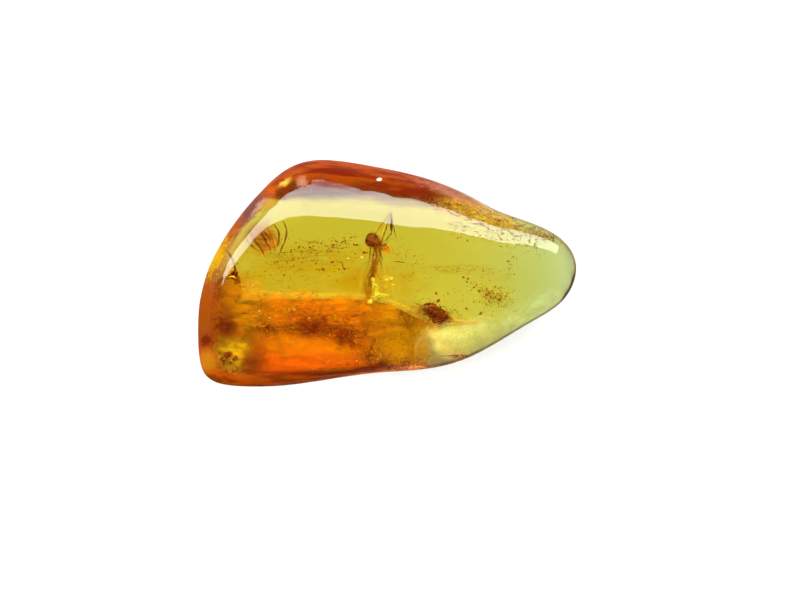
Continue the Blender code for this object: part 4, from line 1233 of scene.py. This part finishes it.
def gnat_wings(settings):
    """Two wings: a thin pleated skin stretched over veins."""
    skins, veins = Heap(), Heap()
    shares = [
        (column / WING_COLUMNS, 1 - 2 * row / WING_ROWS)
        for column in range(WING_COLUMNS + 1) for row in range(WING_ROWS + 1)
    ]
    for root, tip, chord, tilt in WINGS.values():
        matrix, length = wing_place(root, tip, tilt)
        for side in (1, -1):
            points = []
            for share, across in shares:
                raised = side * WING_THICKNESS / 2 * (abs(across) < 1) * (0 < share < 1)
                points.append(wing_point(length, chord, share, across, raised))
            faces = [face[::side] for face in grid_faces(WING_COLUMNS, WING_ROWS)]
            skins.add(turned(points, matrix), faces)
        for vein in WING_VEINS:
            line = [wing_point(length, chord, *place) for place in smooth_line(vein, 8)]
            veins.tube(turned(line, matrix), np.linspace(0.014, 0.006, len(line)), 6)
    skin_mesh = skins.mesh("gnat_wings")
    work = bmesh.new()
    work.from_mesh(skin_mesh)
    bmesh.ops.remove_doubles(work, verts=work.verts, dist=0.001 * MM)
    work.to_mesh(skin_mesh)
    work.free()
    piece("gnat_wings", skin_mesh, membrane_finish(settings), "gnat")
    finish = chitin_finish("wing_veins", settings.pale_chitin, settings.cleared, 0.4, (0.25, 0.42))
    piece("gnat_wing_veins", veins, finish, "gnat")


def gnat_hairs(settings):
    """Bristles on the thorax, head and fore legs."""
    random = np.random.default_rng(settings.seed)
    heap = Heap()
    points, _ = thorax_points()
    centre = np.array(THORAX_CENTRE)

    def bristle(root, outward, length):
        outward = outward / np.linalg.norm(outward)
        bend = random.normal(0, 0.25, 3)
        line = smooth_line((root, root + outward * length * 0.5, root + (outward + bend) * length), 2)
        heap.tube(line, np.linspace(0.008, 0.0015, len(line)), 3)

    for index in random.choice(len(points), settings.hairs * 2 // 3, replace=False):
        if points[index][2] > centre[2] - 0.3:
            bristle(points[index], points[index] - centre, settings.hair_length * random.uniform(0.3, 1.0))
    for _ in range(settings.hairs // 3):
        outward = random.normal(0, 1, 3)
        outward /= np.linalg.norm(outward)
        bristle(np.array(HEAD_CENTRE) + outward * HEAD_RADIUS * 0.93, outward, settings.hair_length * 0.5)
    for name in DARK_LEGS:
        line, radii = leg_line(LEGS[name], name in STOUT_LEGS)
        for i in range(THIGH_STEPS, len(line) - 3):
            for _ in range(4):
                outward = random.normal(0, 1, 3)
                along = line[i + 1] - line[i]
                outward -= along * outward.dot(along) / along.dot(along)
                outward = outward / np.linalg.norm(outward) + 0.6 * along / np.linalg.norm(along)
                bristle(line[i], outward, settings.hair_length * random.uniform(0.15, 0.4) + radii[i])
    finish = chitin_finish("bristles", settings.chitin, settings.pale_chitin, 0.5)
    piece("gnat_bristles", heap, finish, "gnat")


class AMBER_OT_gnat(bpy.types.Operator):
    """Makes the gnat: body, eyes, abdomen, legs, antennae, wings and bristles"""

    bl_idname = "amber.gnat"
    bl_label = "Gnat"

    def execute(self, context):
        settings = context.scene.amber_gnat
        gnat_body(settings)
        gnat_head(settings)
        gnat_eyes(settings)
        gnat_abdomen()
        gnat_legs(settings)
        gnat_wings(settings)
        gnat_hairs(settings)
        return {"FINISHED"}


def bark_finish(settings):
    """Crumbly bark: nearly black in its pits and red-brown on its ridges."""
    made = Finish("bark_crumbly", {"Specular IOR Level": 0.3})
    place = made.place()
    lumps = made.clouds(place, 0.30, detail=6.0, roughness=0.7)
    height = lumps + made.cells(place, 0.14) * 0.35
    made.drive("Base Color", made.mix(settings.dark, settings.light, made.step(height, 0.50, 0.86)))
    made.drive("Roughness", 0.65 + (lumps - 0.5) * 0.4)
    made.bump(height, 0.05)
    return made.material


def crumb_surface(centre, half_sizes, turn, seed):
    """A crumb's surface: the solid's slow lumps, with finer lumps and pits on them."""
    points, faces = unit_lump(5)
    shaped = []
    for point in points:
        spot = Vector(point)
        slow = (CRUMB_ROUGHNESS + 0.25) * noise.noise(spot * 1.7 + Vector((seed, 0, 0)))
        fine = 0.34 * noise.noise(spot * 4.5 + Vector((0, seed, 0))) + 0.12 * noise.noise(spot * 11.0)
        shaped.append(point * (1 + slow + fine))
    return turned(shaped, laid(centre, turn, half_sizes)), faces


def add_grain(heap, random, place, size, stretch):
    """Adds one small, irregular grain, turned at random."""
    points, faces = unit_lump(1)
    points = points * (1 + random.uniform(-0.35, 0.35, (len(points), 1)))
    points = points * np.array((stretch, 1.0, random.uniform(0.5, 1.0))) * size
    turn = Matrix.Rotation(random.normal(0, 0.5) if stretch > 2 else random.uniform(0, 6.3), 4, "Z")
    tip = Matrix.Rotation(random.normal(0, 0.4), 4, "Y")
    heap.add(turned(points, turn @ tip) + np.array(place), faces)


def crumb(name, centre, half_sizes, turn, seed, finish, grains):
    """One crumb with the loose grains that broke off it."""
    random = np.random.default_rng(seed)
    heap = Heap()
    heap.add(*crumb_surface(centre, half_sizes, turn, seed))
    place = Matrix.Rotation(turn, 4, "Z")
    for _ in range(grains):
        outward = Vector(random.normal(0, 1, 3)).normalized()
        reach = random.uniform(0.95, 1.30)
        spot = place @ Vector(np.array(outward) * np.array(half_sizes) * reach) + Vector(centre)
        add_grain(heap, random, spot, random.uniform(0.02, 0.07), 1.3)
    piece(f"{name}_rough", heap, finish, "bark", (name,))


def splinter_finish(settings):
    """Wood soaked with resin: golden along its grain, with a dark end."""
    made = Finish("resinous_wood", {"Roughness": 0.5, "Specular IOR Level": 0.3})
    grain = made.clouds(made.place((0.12, 1.0, 1.0)), 0.10, detail=4.0)
    wood = made.mix(settings.resinous, settings.light, made.step(grain, 0.5, 0.9))
    end = made.step(made.axis("X"), *SPLINTER_DARKENS)
    made.drive("Base Color", made.mix(wood, settings.splinter_end, end))
    made.bump(grain, 0.03)
    return made.material


def curl(name, centre, half_sizes, seed, finish):
    """A tangle of curled shavings."""
    random = np.random.default_rng(seed)
    heap = Heap()
    place = laid(centre, CURL_TURN, np.array(half_sizes) * np.array(CURL_REACH))
    for _ in range(CURL_STRANDS):
        middle, lean = random.normal(0, 0.33, 3), random.normal(0, 0.5, 2)
        width, start = random.uniform(0.08, 0.30), random.uniform(0, 2 * math.pi)
        turning = random.uniform(2.0, 6.5)
        line = []
        for share in np.linspace(0, 1, 20):
            angle, coil = start + turning * share, width * (1 - 0.35 * share)
            x, y = coil * math.cos(angle), coil * math.sin(angle)
            line.append((x, y, lean[0] * x + lean[1] * y + 0.4 * (share - 0.5)))
        line = turned(np.clip(np.array(line) + middle, -CURL_LIMIT, CURL_LIMIT), place)
        heap.tube(line, random.uniform(0.020, 0.050) * np.linspace(1.2, 0.5, len(line)), 6)
    spots = np.clip(random.normal(0, 0.34, (CURL_GRAINS, 3)), -CURL_LIMIT, CURL_LIMIT)
    for spot in turned(spots, place):
        add_grain(heap, random, spot, random.uniform(0.03, 0.12), 1.4)
    piece(f"{name}_rough", heap, finish, "bark", (name,))


class AMBER_OT_bark(bpy.types.Operator):
    """Makes the crumbs of bark in place of the plain ones"""

    bl_idname = "amber.bark"
    bl_label = "Bark crumbs"

    def execute(self, context):
        settings = context.scene.amber_bark
        finish = bark_finish(settings)
        for name, (centre, half_sizes, turn, seed) in CRUMBS.items():
            if name == "bark_curl":
                curl(name, centre, half_sizes, seed, finish)
            elif name == "bark_splinter":
                crumb(name, centre, half_sizes, turn, seed, splinter_finish(settings), 0)
            else:
                crumb(name, centre, half_sizes, turn, seed, finish, settings.grains)
        return {"FINISHED"}


def dust_finish(settings):
    """Grains from nearly black to pale brown, each of its own shade, and some painted bright golden as
    painted glints.
    """
    made = Finish("dust_brown", {"Specular IOR Level": 0.0, "Roughness": 0.8})
    place = made.place()
    shade = made.clouds(place, 0.16, detail=2.0, roughness=0.8)
    glint = made.clouds(place, 0.11, detail=1.0)
    brown = made.mix(settings.dark, settings.light, made.step(shade, 0.35, 0.70))
    made.drive("Base Color", made.mix(brown, settings.gold, made.step(glint, 0.58, 0.64)))
    return made.material


def dust(settings):
    """Every grain of dust, as one mesh."""
    random = np.random.default_rng(settings.seed)
    heap = Heap()
    for start, end, spread, count, *sizes_and_depths, stretch in DUST_TRAILS:
        count = int(count * settings.share)
        for size, place in scattered(random, GRAIN_RARITY, start, end, spread, count, *sizes_and_depths):
            add_grain(heap, random, place, size, stretch)
    for spot, size, depth, stretch in SPOTS:
        add_grain(heap, random, inside("the grain", spot, depth), size, stretch)
    piece("dust_grains", heap, dust_finish(settings), "bark")


def curly_line(random, start, length):
    """A fibre's line: a few steps whose direction wanders."""
    steps = FIBRE_STEPS
    heading = random.uniform(0, 2 * math.pi)
    slope = random.normal(0, 0.25)
    turn = random.normal(0, FIBRE_CURL)
    line = [np.array(start)]
    for _ in range(steps):
        heading += turn / steps + random.normal(0, 0.12)
        line.append(line[-1] + length / steps * np.array((math.cos(heading), math.sin(heading), slope)))
    return np.array(line)


def fibres(settings):
    """Plant fibres in loose groups."""
    random = np.random.default_rng(settings.seed + 1)
    heap = Heap()
    for centre, spread, depth, count, length, radius in FIBRE_GROUPS:
        for _ in range(count):
            x, y = random.normal(centre, spread)
            start = under_top(x, y, depth + random.normal(0, 0.35), 0.3)
            if start is None:
                continue
            line = curly_line(random, start, length * random.uniform(0.4, 1.3))
            if any(skin().find_nearest(Vector(point))[3] < SKIN_MARGIN for point in line):
                continue
            thickness = radius * random.uniform(0.6, 1.5)
            heap.tube(line, thickness * np.linspace(1.2, 0.5, len(line)), 5)
    for knots, depth, radius in STROKES:
        spots = [inside("the thread", spot, depth) for spot in smooth_line(knots, 8)]
        share = np.linspace(0, 1, len(spots))
        bulge = np.sin(math.pi * (0.08 + 0.84 * share)) * (1 + 0.25 * np.sin(share * 19))
        heap.tube(spots, radius * bulge, 8)
    made = Finish("plant_fibre", {"Roughness": 0.55})
    shade = made.clouds(made.place(), 0.4)
    made.drive("Base Color", made.mix(settings.dark, settings.fibre, made.step(shade, 0.3, 0.7)))
    piece("plant_fibres", heap, made.material, "bark")


def star_hairs(settings):
    """Star-shaped plant hairs, of the kind that oaks shed."""
    random = np.random.default_rng(settings.seed + 2)
    heap = Heap()
    for spot in STAR_HAIRS:
        place = np.array(inside("the star hair", spot, STAR_HAIR_DEPTH))
        for ray in range(STAR_HAIR_RAYS):
            turn = 2 * math.pi * ray / STAR_HAIR_RAYS + random.normal(0, 0.2)
            reach = STAR_HAIR_REACH * random.uniform(0.7, 1.3)
            end = np.array((math.cos(turn), math.sin(turn), random.normal(0, 0.4))) * reach
            bend = random.normal(0, 0.15, 3) * reach
            line = smooth_line((place, place + end / 2 + bend, place + end), 3)
            heap.tube(line, np.linspace(STAR_HAIR_RADIUS, 0.2 * STAR_HAIR_RADIUS, len(line)), 4)
    made = Finish("star_hair", {"Roughness": 0.5})
    shade = made.clouds(made.place(), 0.1)
    made.drive("Base Color", made.mix(settings.dark, settings.light, shade))
    piece("star_hairs", heap, made.material, "bark")


class AMBER_OT_dust(bpy.types.Operator):
    """Scatters the dust, the fibres and the star-shaped hairs"""

    bl_idname = "amber.dust"
    bl_label = "Dust and fibres"

    def execute(self, context):
        settings = context.scene.amber_dust
        dust(settings)
        fibres(settings)
        star_hairs(settings)
        return {"FINISHED"}


def drifts(made, along, across, patchy):
    """A sheet's share from 0 to 1: most in its middle, in clouds that are drawn out along the flow."""
    clouds = made.clouds(made.place((across / along, 1.0, 1.0)), across, detail=5.0, distortion=0.4)
    patches = made.step(clouds, 0.38, 0.66)
    return made.step(made.attribute("middle"), 0.0, 0.75) * (patches * patchy + (1 - patchy))


def stain_finish(name, tint, along, across, patchy, strength):
    """A film that only tints. Its colour is the square of the tint, because light only crosses it once."""
    made = Finish(name, {"Transmission Weight": 1.0, "IOR": 1.0, "Roughness": 0.0})
    share = drifts(made, along, across, patchy) * strength
    made.drive("Base Color", made.mix((1.0, 1.0, 1.0), [channel**2 for channel in tint], share))
    return made.material


def cloud_finish(name, shade, along, across, patchy, thickness):
    """A drift of dust too fine to be seen as grains: matt, and thin enough to see through. The bright orange
    drifts under the near side are partly painted light, standing in for the glow that the amber reflects
    inside itself there.
    """
    made = Finish(name, {"Roughness": 0.9, "Specular IOR Level": 0.1})
    grains = made.clouds(made.place((0.5, 1.0, 1.0)), 0.14, detail=3.0, roughness=0.7)
    dark = [channel * 0.82 for channel in shade]
    made.drive("Base Color", made.mix(dark, shade, made.step(grains, 0.40, 0.62)))
    made.drive("Alpha", drifts(made, along, across, patchy) * thickness)
    return made.material


def sheet(name, centre, half_sizes, turn, depth, finish, slot):
    """A rippled sheet whose attribute, middle, falls from 1 in its middle to 0 at its rim."""
    shares, points = [], []
    cosine, sine = math.cos(turn), math.sin(turn)
    for row in range(SHEET_ROWS + 1):
        for column in range(SHEET_COLUMNS + 1):
            u, v = 2 * column / SHEET_COLUMNS - 1, 2 * row / SHEET_ROWS - 1
            x = u * math.sqrt(1 - v * v / 2) * half_sizes[0]
            y = v * math.sqrt(1 - u * u / 2) * half_sizes[1]
            x, y = centre[0] + x * cosine - y * sine, centre[1] + x * sine + y * cosine
            wave = SHEET_RIPPLE * noise.noise(Vector((x * 0.5, y * 1.5, depth)))
            point = under_top(x, y, depth + wave)
            points.append(point)
            margin = 0.0 if point is None else (skin().find_nearest(point)[3] - SKIN_MARGIN) / SHEET_FADE
            within = (1 - max(abs(u), abs(v))) * (1 + 0.6 * noise.noise(Vector((x, y, depth)) * 0.8))
            shares.append(min(within, margin))
    grid = grid_faces(SHEET_ROWS, SHEET_COLUMNS)
    faces = [face for face in grid if all(points[i] is not None for i in face)]
    used = sorted({i for face in faces for i in face})
    if not used:
        raise RuntimeError(f"the sheet {name} isn't inside the amber")
    place = {old: new for new, old in enumerate(used)}
    mesh = bpy.data.meshes.new(name)
    mesh.from_pydata([points[i] * MM for i in used], [], [[place[i] for i in face] for face in faces])
    middle = mesh.attributes.new("middle", "FLOAT", "POINT")
    middle.data.foreach_set("value", [shares[i] for i in used])
    mesh.shade_smooth()
    piece(name, mesh, finish, slot)


def flakes():
    """Small crumpled flakes of split resin, painted pale yellow to near white as painted glints for the light
    that such splits reflect.
    """
    heap = Heap()
    points, faces = unit_lump(3)
    for centre, half_sizes, turn, depth in FLAKES:
        place = inside("the flake", centre, depth)
        shaped = []
        for point in points:
            spot = Vector(point) * 1.3 + place * 3
            shaped.append(point * (1.1 + 0.75 * noise.noise(spot) + 0.35 * noise.noise(spot * 2.6)))
        sizes = (*half_sizes, min(half_sizes) * FLAKE_THICKNESS)
        heap.add(turned(shaped, laid(place, turn, sizes)), faces)
    made = Finish("glint_flakes_painted", {"Roughness": 0.5})
    shade = made.clouds(made.place(), 0.12, detail=3.0)
    holes = made.clouds(made.place((1.0, 1.6, 1.0)), 0.55, detail=3.0, distortion=0.8)
    made.drive("Alpha", made.step(holes, 0.38, 0.56))
    made.drive("Base Color", made.mix((0.90, 0.62, 0.10), (1.0, 1.0, 0.80), made.step(shade, 0.38, 0.55)))
    piece("painted_glint_flakes", heap, made.material, "amber")


class AMBER_OT_stains(bpy.types.Operator):
    """Lays the films of stained resin, the drifts of fine dust, some of them bright as painted light, and the
    flakes painted as glints between the nugget's flows
    """

    bl_idname = "amber.stains"
    bl_label = "Stains and drifts"

    def execute(self, context):
        strength = context.scene.amber_stains.strength
        for name, (*place, tint, along, across, patchy) in STAINS.items():
            finish = stain_finish(f"stain_{name}", tint, along, across, patchy, strength)
            sheet(f"stain_{name}", *place, finish, "amber")
        for name, (*place, shade, along, across, patchy, thickness) in CLOUDS.items():
            finish = cloud_finish(f"drift_{name}", shade, along, across, patchy, thickness)
            sheet(f"drift_{name}", *place, finish, "bark")
        flakes()
        return {"FINISHED"}


def make_floor(settings):
    """A plain pale floor, lit from within like a light table, with a painted shadow: its glow is a little
    lower under the stone.
    """
    mesh = bpy.data.meshes.new("floor")
    half = FLOOR_HALF_SIZE
    corners = [(x, y, -FLOOR_DROP) for x, y in ((-half, -half), (half, -half), (half, half), (-half, half))]
    mesh.from_pydata(corners, [], [(0, 1, 2, 3)])
    floor = in_scene("floor", mesh)
    base = {"Base Color": (FLOOR_SHADE, FLOOR_SHADE, FLOOR_SHADE, 1.0), "Roughness": 0.9}
    made = Finish("light_table", {**base, "Emission Strength": 1.0})
    coordinates = made.add("ShaderNodeTexCoord", {}, {}, out="Object")
    scaled = made.vector("MULTIPLY", coordinates, (1 / SHADE_RADII[0], 1 / SHADE_RADII[1], 0.0))
    reach = made.vector("LENGTH", scaled, out="Value")
    shade, glow = ((level,) * 3 for level in (settings.shade_glow, settings.floor_glow))
    made.drive("Emission Color", made.mix(shade, glow, made.step(reach, *SHADE_EDGE)))
    mesh.materials.append(made.material)


def make_sky(settings):
    """A pale room that is darker straight above, where the camera is."""
    world = bpy.data.worlds.new("room")
    bpy.context.scene.world = world
    world.use_nodes = True
    nodes, links = world.node_tree.nodes, world.node_tree.links
    background = nodes["Background"]
    background.inputs["Strength"].default_value = settings.sky_glow
    direction = nodes.new("ShaderNodeTexCoord")
    height = nodes.new("ShaderNodeSeparateXYZ")
    ramp = nodes.new("ShaderNodeValToRGB")
    Finish.place_stops(ramp.color_ramp, ((0.5, (1.0,) * 3), (0.9, (settings.zenith_share,) * 3)))
    links.new(direction.outputs["Generated"], height.inputs[0])
    links.new(height.outputs["Z"], ramp.inputs["Fac"])
    links.new(ramp.outputs["Color"], background.inputs["Color"])


def make_softbox(settings):
    """A wide softbox on the far side, which the shoulder of the stone reflects."""
    light = bpy.data.lights.new("softbox", "AREA")
    light.shape = "RECTANGLE"
    light.size, light.size_y = settings.box_width, settings.box_height
    light.energy = settings.box_radiance * math.pi * settings.box_width * settings.box_height
    softbox = in_scene("softbox", light)
    rise, reach = math.sin(settings.box_elevation), math.cos(settings.box_elevation)
    softbox.location = (settings.box_shift, settings.box_distance * reach, settings.box_distance * rise)
    softbox.rotation_euler = (-softbox.location).to_track_quat("-Z", "Y").to_euler()
    softbox.rotation_euler.rotate_axis("Z", settings.box_roll)


def make_camera():
    """A long lens that looks straight down."""
    data = bpy.data.cameras.new("camera")
    camera = in_scene("camera", data)
    camera.location = Vector(CAMERA_AIM) * MM + Vector((0.0, 0.0, CAMERA_HEIGHT * MM))
    data.sensor_width = SENSOR_WIDTH
    data.lens = SENSOR_WIDTH * CAMERA_HEIGHT / FRAME_WIDTH
    data.clip_start, data.clip_end = 0.01, 20.0
    bpy.context.scene.camera = camera


class AMBER_OT_stage(bpy.types.Operator):
    """Sets the floor, the light and the camera"""

    bl_idname = "amber.stage"
    bl_label = "Stage"

    def execute(self, context):
        for make in (make_floor, make_sky, make_softbox):
            make(context.scene.amber_stage)
        make_camera()
        context.scene.view_settings.view_transform = "Standard"
        cycles = context.scene.cycles
        cycles.max_bounces = cycles.transmission_bounces = cycles.transparent_max_bounces = CLEAR_BOUNCES
        cycles.glossy_bounces = GLOSSY_BOUNCES
        return {"FINISHED"}


class AMBER_PT_panel(bpy.types.Panel):
    """Lists the pieces, in the order in which they are made"""

    bl_idname = "AMBER_PT_panel"
    bl_label = "Gnat in amber"
    bl_space_type = "VIEW_3D"
    bl_region_type = "UI"
    bl_category = "Amber"

    def draw(self, context):
        for operator, settings in zip(OPERATORS, SETTINGS):
            box = self.layout.box()
            box.operator(operator.bl_idname)
            values = getattr(context.scene, settings)
            for name in values.__annotations__:
                box.prop(values, name)


OPERATORS = (
    AMBER_OT_nugget, AMBER_OT_gnat, AMBER_OT_bark, AMBER_OT_dust, AMBER_OT_stains, AMBER_OT_stage,
)


def register():
    for kind in (*SETTINGS.values(), *OPERATORS, AMBER_PT_panel):
        bpy.utils.register_class(kind)
    for name, kind in SETTINGS.items():
        setattr(bpy.types.Scene, name, PointerProperty(type=kind))


def unregister():
    for name in SETTINGS:
        delattr(bpy.types.Scene, name)
    for kind in reversed((*SETTINGS.values(), *OPERATORS, AMBER_PT_panel)):
        bpy.utils.unregister_class(kind)


def main():
    register()
    bpy.ops.amber.nugget()
    bpy.ops.amber.gnat()
    bpy.ops.amber.bark()
    bpy.ops.amber.dust()
    bpy.ops.amber.stains()
    bpy.ops.amber.stage()


if __name__ == "__main__":
    main()
